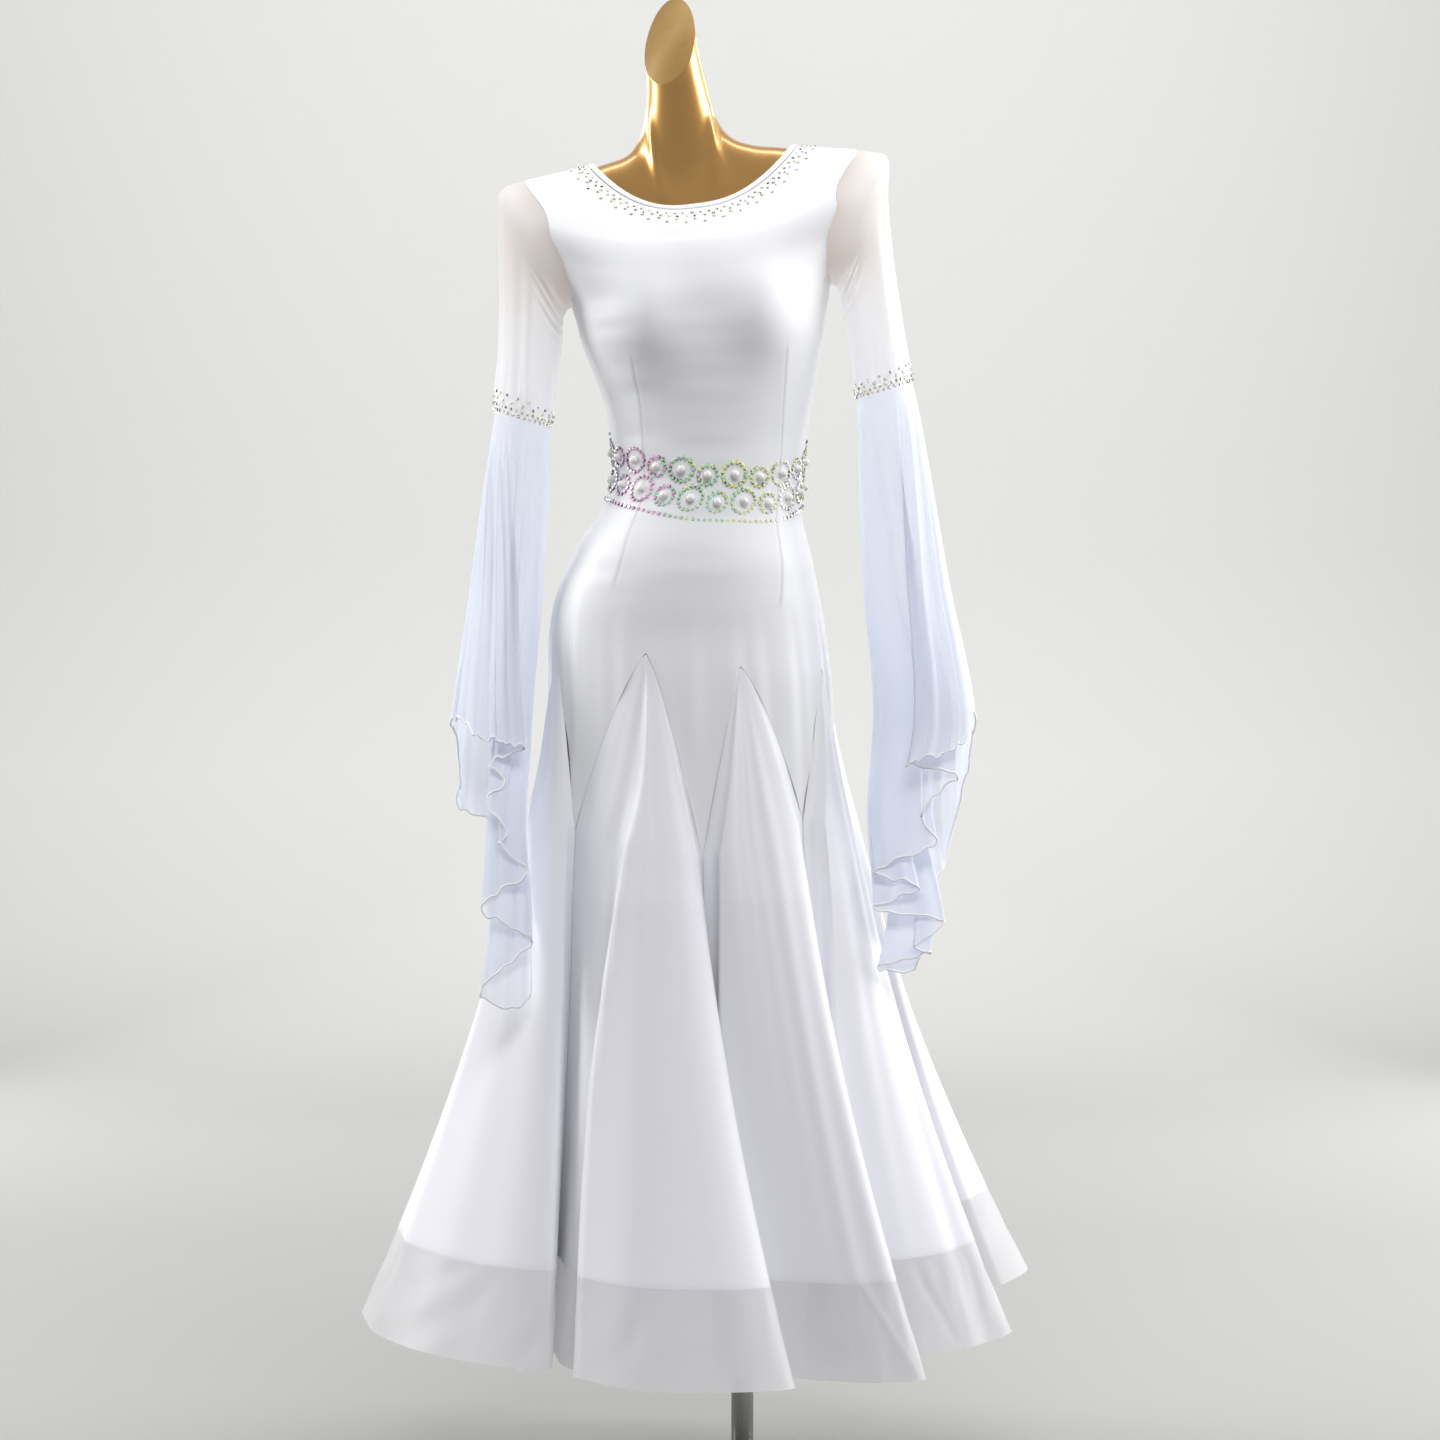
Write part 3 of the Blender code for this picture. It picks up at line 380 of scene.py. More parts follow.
def flounce(name, round_it, down):
    """A point of a flounce: round_it 0 to 1 from the outer side by the front, down 0 at its seam to 1 at its hem."""
    side = -1 if name == "right" else 1
    table = np.array(FLOUNCES[name])
    at = np.asarray(round_it, float) * 360
    plan = loop_through(table[:, 0], table[:, 1:3], 360, at)
    length = loop_through(table[:, 0], table[:, 3:], 360, at)[..., 0]
    ox, oz, ix, iz, deep = SLEEVES[name][-1]
    turn = np.radians(at)
    top = np.stack(
        [
            (ox + ix) / 2 + (ox - ix) / 2 * np.cos(turn),
            -deep * np.sin(turn),
            (oz + iz) / 2 + (oz - iz) / 2 * np.cos(turn),
        ],
        -1,
    )
    drop = length * down
    z = top[..., 2] - drop - SEAM_GAP * 1.2
    axis = np.array(FLOUNCE_AXIS[name])
    ax, ay = np.moveaxis(through(axis[:, 0], axis[:, 1:], z), -1, 0)
    least, most = table[:, 1:3].min(0), table[:, 1:3].max(0)
    oval = (least + most) / 2 + (most - least) / 2 * np.stack([np.cos(turn), -np.sin(turn)], -1)
    seam = np.stack([side * (top[..., 0] - (ox + ix) / 2), top[..., 1]], -1)
    open_ = np.clip(drop / 0.36, 0, 1)[..., None] ** 0.75
    fold = np.broadcast_to(np.asarray(down, float), z.shape)[..., None] ** 1.3
    place = seam + (oval - seam) * open_ + (plan - oval) * fold
    return np.stack([ax + side * place[..., 0], ay + place[..., 1], z], -1)


# ------------------------------------------------------------- mesh helpers
def place_object(name, data):
    """A new object in the scene."""
    obj = bpy.data.objects.new(name, data)
    bpy.context.scene.collection.objects.link(obj)
    return obj


def piece(bm, name, *finishes, smooth=True):
    """Makes the bmesh a piece of the model, with one material for each finish."""
    mesh = bpy.data.meshes.new(name)
    bm.to_mesh(mesh)
    bm.free()
    obj = place_object(name, mesh)
    for finish in finishes:
        mesh.materials.append(finish)
    mesh.polygons.foreach_set("use_smooth", [smooth] * len(mesh.polygons))
    return obj


def lay_sheet(points, size, closed=False, rolled=False, tip=False, marks=None):
    """A sheet on rows of points. closed joins its side edges and rolled its first and last rows, and tip has all of
    a row at one point. size is its width and length in metres, which its weave follows; marks is the painted
    shade darkening its seams."""
    rows, columns = points.shape[:2]
    wide, tall = columns - (not closed), rows - (not rolled)
    bm = bmesh.new()
    cut = bm.loops.layers.uv.new("cut")
    seam = bm.verts.layers.float.new("seam")
    made = bmesh.ops.create_grid(bm, x_segments=wide, y_segments=tall, size=0.5)["verts"]
    for v in made:
        i, j = round((v.co.x + 0.5) * wide), round((v.co.y + 0.5) * tall)
        v.co = points[j % rows, i % columns]
        if marks is not None:
            v[seam] = marks[j % rows, i % columns]
        for loop in v.link_loops:
            loop[cut].uv = (i / wide * size[0], j / tall * size[1])
    if closed or rolled or tip:
        bmesh.ops.remove_doubles(bm, verts=made, dist=2e-7)
    return bm


def face_out(bm, middle):
    """Makes every face look away from the upright line through middle."""
    bmesh.ops.recalc_face_normals(bm, faces=bm.faces)
    total = 0.0
    for f in bm.faces:
        c = f.calc_center_median()
        total += f.normal.dot(c - Vector((middle[0], middle[1], c.z))) * f.calc_area()
    if total < 0:
        bmesh.ops.reverse_faces(bm, faces=bm.faces)
    return bm


def wall(obj, thick):
    """Gives a cloth piece its thickness, and evens its shading."""
    m = obj.modifiers.new("cloth wall", "SOLIDIFY")
    m.thickness, m.offset = thick, 0.0
    even = obj.modifiers.new("even shading", "WEIGHTED_NORMAL")
    even.weight = 100
    return obj


def outward(points, middle=None, closed=False):
    """Unit normals of rows of points, turned all together to look away from middle in plan."""
    across = np.roll(points, -1, 1) - np.roll(points, 1, 1) if closed else np.gradient(points, axis=1)
    n = np.cross(across, np.gradient(points, axis=0))
    n /= np.maximum(np.linalg.norm(n, axis=-1), 1e-12)[..., None]
    inward = middle is not None and np.sum(n[..., :2] * (points[..., :2] - middle)) < 0
    return -n if inward else n


def bumps(x, *waves):
    """A sum of uneven waves: each is (count, size, phase)."""
    return sum(size * np.sin(2 * math.pi * count * x + phase) for count, size, phase in waves)


def ridge(x, middle, wide):
    """A smooth bump of height 1."""
    return np.exp(-(((x - middle) / wide) ** 2))


def smooth_step(x, low, high):
    """Rises smoothly from 0 at low to 1 at high."""
    t = np.clip((x - low) / (high - low), 0, 1)
    return t * t * (3 - 2 * t)


def tube(points, radius, sides):
    """A closed round cord along a closed loop of points."""
    ahead = np.roll(points, -1, 0) - np.roll(points, 1, 0)
    ahead /= np.linalg.norm(ahead, axis=1)[:, None]
    side = np.cross(ahead, (0.0, 0.0, 1.0))
    side /= np.linalg.norm(side, axis=1)[:, None]
    up = np.cross(side, ahead)
    turns = np.arange(sides) / sides * 2 * math.pi
    rows = [points + radius * (math.cos(a) * side + math.sin(a) * up) for a in turns]
    return lay_sheet(np.array(rows), (1, 0.01), closed=True, rolled=True)


# -------------------------------------------------------------------- dress
COLUMNS = 34  # across a panel, between a godet's tip and a petal's point
DARTS = (  # fish-eye darts: height, angle from centre front
    ((1.286, -35.0), (1.232, -38.0), (1.174, -39.5), (1.106, -35.5), (1.067, -32.0), (1.030, -31.5)),
    ((1.290, 41.0), (1.232, 43.0), (1.174, 46.0), (1.096, 45.0), (1.036, 42.5), (1.008, 39.5)),
)


def panel(front):
    """Points, angles, levels and shares across of the front or back panel, from the petals up to the neckline."""
    first = 0 if front else 4
    middle = 0.0 if front else 180.0
    stops = [middle - 90] + [a for k in range(first, first + 4) for a in (GODETS[k][0], GODETS[k][2])]
    runs = [np.linspace(a, b, COLUMNS, endpoint=False) for a, b in zip(stops, stops[1:])]
    angles = np.concatenate([*runs, [stops[-1]]])
    share = (angles - middle) / 90
    side_gap = math.degrees(SEAM_GAP / 2 / HIP_RADIUS)
    low = middle + share * (90 - side_gap)
    edge = petal_edge(low) + SEAM_GAP
    rows, at = [], []
    for t in np.linspace(0, 1, 30, endpoint=False):
        level = edge + (HIP_LEVEL - edge) * t
        rows.append(body(low, level))
        at.append((low, level))
    bounds = (HIP_LEVEL, 1.342, UNDERARM, 1.353, 1.409, SHOULDER, PANEL_TOP)
    counts = (86, 3, 10, 27, 15, 12)  # rows between them, closest at the underarm and the shoulder
    levels = [np.linspace(a, b, n, endpoint=b == PANEL_TOP) for a, b, n in zip(bounds, bounds[1:], counts)]
    for level in np.concatenate(levels):
        reach = float(armhole_reach(level)) - side_gap
        angle = middle + share * reach
        rows.append(body(angle, level))
        at.append((angle, np.full(share.shape, level)))
    points = np.array(rows)
    angle, level = np.array(at).transpose(1, 0, 2)
    return points, angle, level, (angle - middle) / 90


def drape_panel(front):
    """Points of a panel with its darts, drags and creases, and the painted shade along its darts' lines."""
    points, angle, level, share = panel(front)
    lift = np.zeros(angle.shape)
    marks = np.zeros(angle.shape)
    turned = angle if front else angle - 180
    for line in DARTS:
        (high, _), (low, _) = line[0], line[-1]
        where = table_at(line[::-1], level)
        length = smooth_step(level, low - 0.004, low + 0.012) * (1 - smooth_step(level, high - 0.012, high + 0.004))
        line_at = ridge(turned, where, 0.75) * length
        lift -= 0.00045 * line_at
        lift += 0.0007 * ridge(turned, where, 5.0) * length
        # each dart's line is also painted darker in the cloth's colour: painted shade in its crease
        marks = np.maximum(marks, line_at)
    # soft drag folds run up from the petals and the godets' tips
    near_edge = 1 - smooth_step(level, 0.86, 1.045)
    lift += 0.0011 * near_edge * bumps(angle / 360, (29, 0.6, 0.4), (17, 0.7, 2.1), (43, 0.3, 1.0))
    # faint level drags over the hips and under the bust
    drags = bumps(level, (26, 0.7, 0.3), (41, 0.4, 1.7)) * bumps(angle / 360, (3, 0.8, 0.9), (5, 0.5, 2.2))
    lift += 0.0003 * drags * smooth_step(level, 0.98, 1.06) * (1 - smooth_step(level, 1.30, 1.38))
    # the belly rounds out and the cloth tucks in a little below it
    if front:
        middle = ridge(angle, 4.0, 52.0)
        lift += middle * (0.0052 * ridge(level, 1.062, 0.040) - 0.0017 * ridge(level, 0.984, 0.030))
    # small creases fan from the front of each armhole
    for side in (-1, 1):
        reach = np.abs(share - side * 0.93)
        fan = smooth_step(level, 1.315, 1.345) * (1 - smooth_step(level, 1.395, 1.425))
        creases = bumps(level + 0.10 * reach, (62, 0.8, 0.5 + side), (97, 0.4, 1.4))
        lift += 0.0011 * fan * ridge(reach, 0, 0.16) * creases
    fade = smooth_step(len(points) - 1 - np.arange(len(points))[:, None], 0, 5)
    return points + outward(points, SKIRT_MIDDLE) * (lift * fade)[..., None], marks


GODET_COLUMNS = 73
STEPS = np.linspace(0, 1, GODET_COLUMNS)
# Shares across a godet, closer near its seams.
ACROSS = 0.55 * STEPS + 0.45 * (0.5 - 0.5 * np.cos(math.pi * STEPS))

# Each godet's crisp fold, which falls from its tip: how far across it runs at the petals and at the hem, and its
# depth.
LEADING_FOLDS = (
    (0.46, 0.52, 0.006), (0.50, 0.37, 0.020), (0.24, 0.16, 0.018), (0.30, 0.24, 0.010), (0.45, 0.40, 0.009),
    (0.55, 0.45, 0.010), (0.42, 0.36, 0.009), (0.50, 0.44, 0.010),
)


def godet_points(k, downs):
    """Rows of points of one godet, pressed to a sharper fold on its leading side."""
    points = np.array([skirt(k, ACROSS, d) for d in downs])
    down = np.array(downs)
    high, low, deep = LEADING_FOLDS[k]
    where = high + (low - high) * smooth_step(down, 0.2, 1.7)
    grown = smooth_step(down, 0.03, 0.40) * (0.0040 + deep * smooth_step(down, 0.45, 1.8))
    off = ACROSS - where
    lift = grown * np.where(off < 0, np.exp(off / 0.032), np.exp(-off / 0.16))
    lift -= 0.55 * grown * ridge(ACROSS, where - 0.11, 0.055)
    lift += 0.0030 * ridge(ACROSS, 0.78 + 0.03 * math.sin(k * 2.1), 0.06) * smooth_step(down, 0.8, 1.9)
    waves = bumps(ACROSS, (3.1, 0.7, k * 1.3), (5.3, 0.5, k * 2.9), (8.2, 0.25, k * 0.7))
    lift += 0.0008 * waves * smooth_step(down, 0.1, 0.9)
    lift += 0.0007 * bumps(ACROSS + 0.08 * down, (2.2, 0.6, k * 4.1), (6.7, 0.3, k)) * smooth_step(down, 1.0, 2.0)
    along = np.gradient(points, axis=1)
    along /= np.maximum(np.linalg.norm(along, axis=-1), 1e-9)[..., None]
    lean = -grown * ridge(ACROSS, where, 0.06) * smooth_step(down, 0.5, 1.5)
    inside = np.sin(math.pi * ACROSS) ** 0.6
    return points + along * (lean * inside)[..., None] + outward(points, SKIRT_MIDDLE) * (lift * inside)[..., None]


def drape_godet(k):
    """Points of one godet, down to the crinoline band, and the painted shade along its seams."""
    last = band_top(k, ACROSS) - 0.0002
    shares = np.concatenate([np.linspace(0, 1, 44, endpoint=False), np.linspace(1, 2, 66)])
    points = godet_points(k, [np.where(d <= 1, d, 1 + (d - 1) * (last - 1)) for d in shares])
    for edge, inner in ((0, 1), (-1, -2)):
        way = points[:, inner] - points[:, edge]
        size = np.maximum(np.linalg.norm(way, axis=1), 1e-9)[:, None]
        points[:, edge] += way / size * np.minimum(SEAM_GAP, size * 0.4)
    points[0] = points[0].mean(0) - (0, 0, 2 * SEAM_GAP)
    marks = np.zeros(points.shape[:2])
    # the two columns along each seam are painted darker: painted shade in the seams
    marks[:, :2] = marks[:, -2:] = 0.7
    return points, marks


# Creases of the band: share of the way round, slant, width and depth.
BAND_CREASES = (
    (0.062, 0.006, 0.0024, 0.0016), (0.101, -0.007, 0.0018, -0.0014), (0.163, 0.010, 0.0016, 0.0018),
    (0.212, -0.009, 0.0022, 0.0013), (0.262, 0.012, 0.0014, 0.0024), (0.283, 0.017, 0.0012, -0.0020),
    (0.312, -0.012, 0.0014, 0.0022), (0.333, 0.015, 0.0013, 0.0020), (0.402, -0.014, 0.0016, 0.0020),
    (0.431, 0.011, 0.0014, -0.0016), (0.522, 0.008, 0.0022, 0.0015), (0.640, -0.010, 0.0018, 0.0017),
    (0.745, 0.009, 0.0020, 0.0015), (0.866, -0.008, 0.0019, 0.0016),
)


def drape_band():
    """The crinoline band: its top edge tucks in behind the godets, its seam puckers it, and slack cloth leaves
    slanting creases."""
    shares = np.concatenate([[0, 0.018, 0.029, 0.037, 0.06], np.linspace(0.09, 1, 22)])
    rows = []
    for k in range(len(GODETS)):
        top = band_top(k, ACROSS) - BAND_TUCK
        rows.append(godet_points(k, [top + (2 - top) * t for t in shares])[:, :-1])
    points = np.concatenate(rows, axis=1)
    at, down = np.arange(points.shape[1]) / points.shape[1], shares[:, None]
    pucker = bumps(at + 0.004 * down, (61, 0.6, 0.2), (97, 0.5, 1.3), (143, 0.45, 2.0), (211, 0.25, 0.7))
    drag = bumps(at + 0.02 * down, (47, 0.6, 2.0), (83, 0.5, 0.9)) * np.sin(math.pi * down)
    lift = 0.0007 * pucker * (1 - 0.75 * down) * smooth_step(down, 0.06, 0.18) + 0.0007 * drag
    fade = np.sin(math.pi * np.clip(down * 1.05, 0, 1)) ** 0.7
    for place, slant, wide, deep in BAND_CREASES:
        lift += deep * ridge(at, place + slant * (down - 0.5), wide) * fade
    lift += 0.0003 - 0.0009 * (1 - smooth_step(down, 0.017, 0.028))
    return points + outward(points, SKIRT_MIDDLE, closed=True) * lift[..., None]


def binding_points():
    """Rows of points round the neckline's narrow binding."""
    count, turns = 360, 14
    angles = np.arange(count) / count * 360
    inner = body(angles, NECKLINE)
    up = inner - body(angles, NECKLINE - 0.006)
    up /= np.linalg.norm(up, axis=1)[:, None]
    along = np.roll(inner, -1, 0) - np.roll(inner, 1, 0)
    along /= np.linalg.norm(along, axis=1)[:, None]
    out = np.cross(along, up)
    out /= np.linalg.norm(out, axis=1)[:, None]
    mid = inner + up * (BINDING_WIDTH / 2 + SEAM_GAP)
    rows = []
    for k in range(turns):
        a = 2 * math.pi * k / turns
        c, s = math.cos(a), math.sin(a)
        wide = math.copysign(abs(c) ** 0.7, c) * BINDING_WIDTH / 2
        rows.append(mid + up * wide + out * (s * BINDING_THICK / 2))
    return np.array(rows)


def sleeve_surface(name, columns, rows):
    """Rows of points of a sleeve with its soft lengthways folds."""
    rings = sleeve_rings(name, columns)
    along = np.linspace(0, 1, rows)
    knots = np.array([0, 0.05, 0.13, 0.30, 0.48, 0.74, 1.0])
    flat = rings.reshape(len(rings), -1)
    points = through(knots, flat, along).reshape(rows, columns, 3)
    out = outward(points, points.mean(1, keepdims=True)[..., :2], closed=True)
    at, down = np.arange(columns) / columns, along[:, None]
    turn = 0.6 if name == "right" else 2.2
    fold = bumps(at + 0.03 * np.sin(3 * down), (4, 0.8, turn), (7, 0.7, 1.9 * turn), (11, 0.35, 0.7))
    lift = 0.0021 * fold * smooth_step(down, 0.06, 0.45) * (1 - 0.8 * smooth_step(down, 0.86, 1.0))
    # pulled creases at the underarm and gathers just above the flounce
    creases = ridge(at, 0.42, 0.10) * bumps(down + 0.15 * at, (9, 0.8, turn), (14, 0.4, 1.0))
    lift += 0.0016 * creases * (1 - smooth_step(down, 0.25, 0.55)) * smooth_step(down, 0.03, 0.10)
    gathers = bumps(at, (19, 0.6, 0.3), (27, 0.5, turn))
    lift += 0.0008 * gathers * smooth_step(down, 0.70, 0.95) * (1 - smooth_step(down, 0.97, 1.0))
    return points + out * lift[..., None]


def flounce_surface(name, columns, rows):
    """Rows of points of a flounce, with its columns closest where it folds most."""
    steps = 2000
    fine = np.arange(steps) / steps
    hem = flounce(name, fine, 1.0)
    step = np.linalg.norm((np.roll(hem, -1, 0) - hem)[:, :2], axis=1)
    far = np.concatenate([[0], np.cumsum(step / step.sum() * 0.65 + 0.35 / steps)])
    at = np.interp(np.arange(columns) / columns, far, np.arange(steps + 1) / steps)
    downs = np.linspace(0, 1, rows)
    points = np.array([flounce(name, at, d) for d in downs])
    turn = 0.9 if name == "right" else 2.6
    down = downs[:, None]
    frill = bumps(at, (31, 0.6, turn), (47, 0.5, 1.2), (71, 0.3, 2.0))
    points[..., 2] -= 0.0022 * frill * smooth_step(down, 0.6, 1.0)
    out = outward(points, closed=True)
    broad = ridge((at + 0.5) % 1.0 - 0.5, 0.09, 0.13)
    fold = bumps(at, (13, 0.8, turn), (21, 0.45, 1.1)) * broad * smooth_step(down, 0.02, 0.5)
    for count, phase, deep in ((11, 0.30 + turn, 8 / 9), (17, 0.75, 11 / 18)):
        line = (1 - np.abs(np.sin(math.pi * (count * at + phase + 0.05 * down)))) ** 5
        fold = fold - deep * line * smooth_step(down, 0.01, 0.25) * (0.35 + 0.65 * broad)
    lift = 0.0036 * fold + 0.0010 * bumps(at, (17, 0.7, turn * 2), (29, 0.4, 0.3)) * smooth_step(down, 0.02, 0.12)
    return points + out * lift[..., None]


# ------------------------------------------------------------ stones, pearls
FINE = 720  # steps round the body when stones are spaced
FINE_STEP = 360 / FINE
ALL_ROUND = np.arange(FINE) * FINE_STEP


def seat(angle, level):
    """(point, outward normal) of the cloth's face at an angle and level."""
    angle, level = np.atleast_1d(np.asarray(angle, float)), np.atleast_1d(np.asarray(level, float))
    skin_at, above = skin(angle, level, 0.0), skin(angle, level, -0.001)
    out = above - skin_at
    out /= np.linalg.norm(out, axis=-1)[..., None]
    return skin_at, out


def even_steps(loop, count, shift=0.0):
    """Places, as shares of the loop's own list, that cut a closed loop in equal lengths."""
    step = np.linalg.norm(np.roll(loop, -1, 0) - loop, axis=1)
    far = np.concatenate([[0], np.cumsum(step)])
    want = ((np.arange(count) + shift) / count) % 1 * far[-1]
    return np.interp(want, far, np.arange(len(far)))


def add_stone(bm, point, out, across, tone, painted_glint, turn):
    """One eight-sided stone, flat side down."""
    deep = across * 0.40
    place = Matrix.Translation(Vector(point) + Vector(out) * (SEAM_GAP + deep / 2))
    stand = Vector((0, 0, 1)).rotation_difference(Vector(out)).to_matrix().to_4x4()
    made = bmesh.ops.create_cone(
        bm, cap_ends=True, segments=8, radius1=across / 2, radius2=across * 0.27, depth=deep,
        matrix=place @ stand @ Matrix.Rotation(turn, 4, "Z"),
    )["verts"]
    tones, painted_glints = bm.faces.layers.float["tone"], bm.faces.layers.float["painted_glint"]
    faces = {f for v in made for f in v.link_faces}
    for n, f in enumerate(sorted(faces, key=lambda f: f.index)):
        # painted glints: tables painted bright as highlights, dim side facets painted in a dark tone as reflections
        painted_glint_level = (painted_glint + 0.377 * n + 0.11 * n * n) % 1.0
        table = len(f.verts) > 4
        f[tones] = tone if table or painted_glint_level > 0.22 else 0.2
        f[painted_glints] = 0.80 + 0.20 * painted_glint_level if table else painted_glint_level


def add_clear_stone(bm, point, out, n, seed):
    """Stone number n of the neck or a sleeve."""
    add_stone(bm, point, out, STONE, 0.90 + 0.10 * shuffle(n, seed), shuffle(n, seed + 1), n)


def stone_mesh():
    """An empty mesh whose faces can carry a tone and a painted glint, a brightness painted on each facet."""
    bm = bmesh.new()
    bm.faces.layers.float.new("tone")
    bm.faces.layers.float.new("painted_glint")
    return bm


def shuffle(n, seed):
    """A repeatable scatter between 0 and 1 for thing number n."""
    return (math.sin(n * 12.9898 + seed * 78.233) * 43758.5453) % 1.0


def neck_stones():
    """Two full rows of stones under the binding, and two sparser ones outside them."""
    bm = stone_mesh()
    levels = np.linspace(NECKLINE, 1.395, 160)
    grid = np.array([body(ALL_ROUND, level) for level in levels])
    far = np.concatenate([np.zeros((1, FINE)), np.cumsum(np.linalg.norm(np.diff(grid, axis=0), axis=2), axis=0)])
    rows = ((0.0062, 72, 0.0), (0.0108, 72, 0.5), (0.0152, 36, 0.25), (0.0198, 36, 0.75))
    n = 0
    for distance, count, shift in rows:
        level = np.array([np.interp(distance, far[:, i], levels) for i in range(FINE)])
        at = even_steps(body(ALL_ROUND, level), count, shift)
        angle, height = at * FINE_STEP, np.interp(at, np.arange(FINE + 1), np.append(level, level[0]))
        jitter = np.array([shuffle(i, distance * 100) - 0.5 for i in range(count)])
        points, outs = seat(angle + jitter * 0.5, height)
        for p, o in zip(points, outs):
            n += 1
            add_clear_stone(bm, p, o, n, 1)
    return bm


# The belt's lower edge and its stones' tone, by angle from centre front.
BELT_LINE = (
    (-180, 1.124), (-82, 1.125), (-34.5, 1.1145), (-18.5, 1.1095), (2, 1.104), (19, 1.103), (36, 1.102), (82, 1.115),
    (180, 1.124),
)
BELT_TONES = (
    (-180, 0.20), (-88, 0.03), (-58, 0.20), (-34, 0.40), (-12, 0.60), (22, 0.72), (44, 0.92), (62, 1.00), (84, 0.90),
    (180, 0.20),
)
BELT_RINGS = 21  # in each of the two rows


def belt_height(angle):
    """Height of the belt's lower edge."""
    return table_at(BELT_LINE, (np.asarray(angle, float) + 180) % 360 - 180)


def belt_tone(angle, n):
    """Stones turn from steel and rose on the wearer's right to green and gold in the middle and clear on the left."""
    base = float(table_at(BELT_TONES, (angle + 180) % 360 - 180))
    return min(max(base + 0.26 * (shuffle(n, 5) - 0.5), 0.0), 1.0)


def belt():
    """(stones, pearls) of the belt: a row of stones along its lower edge, and two staggered rows of rings of stones
    with a pearl in each."""
    bm, pearls = stone_mesh(), bmesh.new()
    numbers = itertools.count(1)

    def stone(turn, level, across, scatter=0.0):
        n = next(numbers)
        p, o = seat(turn + scatter * shuffle(n, 4), level)
        add_stone(bm, p[0], o[0], across, belt_tone(turn, n), shuffle(n, 3), n)

    for a in even_steps(body(ALL_ROUND, belt_height(ALL_ROUND)), 100) * FINE_STEP:
        stone(a, belt_height(a), BELT_STONE)
    for rise, shift in ((0.0205, 0.5), (0.0490, 0.0)):
        middles = even_steps(body(ALL_ROUND, belt_height(ALL_ROUND) + rise), BELT_RINGS, shift) * FINE_STEP
        for k, a in enumerate(middles):
            big = (k if k <= BELT_RINGS // 2 else k - BELT_RINGS) % 2
            radius, count, level = (0.0128, 16, 0.0010) if big else (0.0102, 12, -0.0008)
            height = belt_height(a) + rise + level
            centre, out = seat(a, height)
            per = np.linalg.norm(seat(a + 0.5, height)[0][0] - seat(a - 0.5, height)[0][0])
            for j in range(count):
                t = 2 * math.pi * (j + 0.5 * (k % 2)) / count
                stone(a + radius * math.cos(t) / per, height + radius * math.sin(t), BELT_STONE * 0.92)
            place = Matrix.Translation(Vector(centre[0]) + Vector(out[0]) * (PEARL * 0.28))
            bmesh.ops.create_uvsphere(pearls, u_segments=20, v_segments=12, radius=PEARL / 2, matrix=place)
    # small stones climb above the rings at the side seams
    for a in (-92.0, -84.0, 83.0, 91.0):
        for rise in (0.0655, 0.0715):
            stone(a, belt_height(a) + rise, BELT_STONE * 0.85, scatter=2.0)
    return bm, pearls


def sleeve_stones(name):
    """Zigzag rows of stones round the end of a sleeve."""
    bm = stone_mesh()
    columns, last = 144, 59
    points = sleeve_surface(name, columns, last + 1)
    out = outward(points, points.mean(1, keepdims=True)[..., :2], closed=True)
    length = np.linalg.norm(np.diff(points, axis=0), axis=2).sum(0).mean()
    rows = ((0.0030, 34, 0.0), (0.0075, 34, 0.5), (0.0125, 17, 0.25), (0.0175, 17, 0.75))
    n = 0
    for rise, count, shift in rows:
        j = (1 - rise / length) * last
        low, part = int(j), j - int(j)
        loop = points[low] * (1 - part) + points[low + 1] * part
        for i in even_steps(loop, count, shift):
            a, t = int(i) % columns, i - int(i)
            p = loop[a] * (1 - t) + loop[(a + 1) % columns] * t
            n += 1
            add_clear_stone(bm, p, out[low, a], n, 7)
    return bm


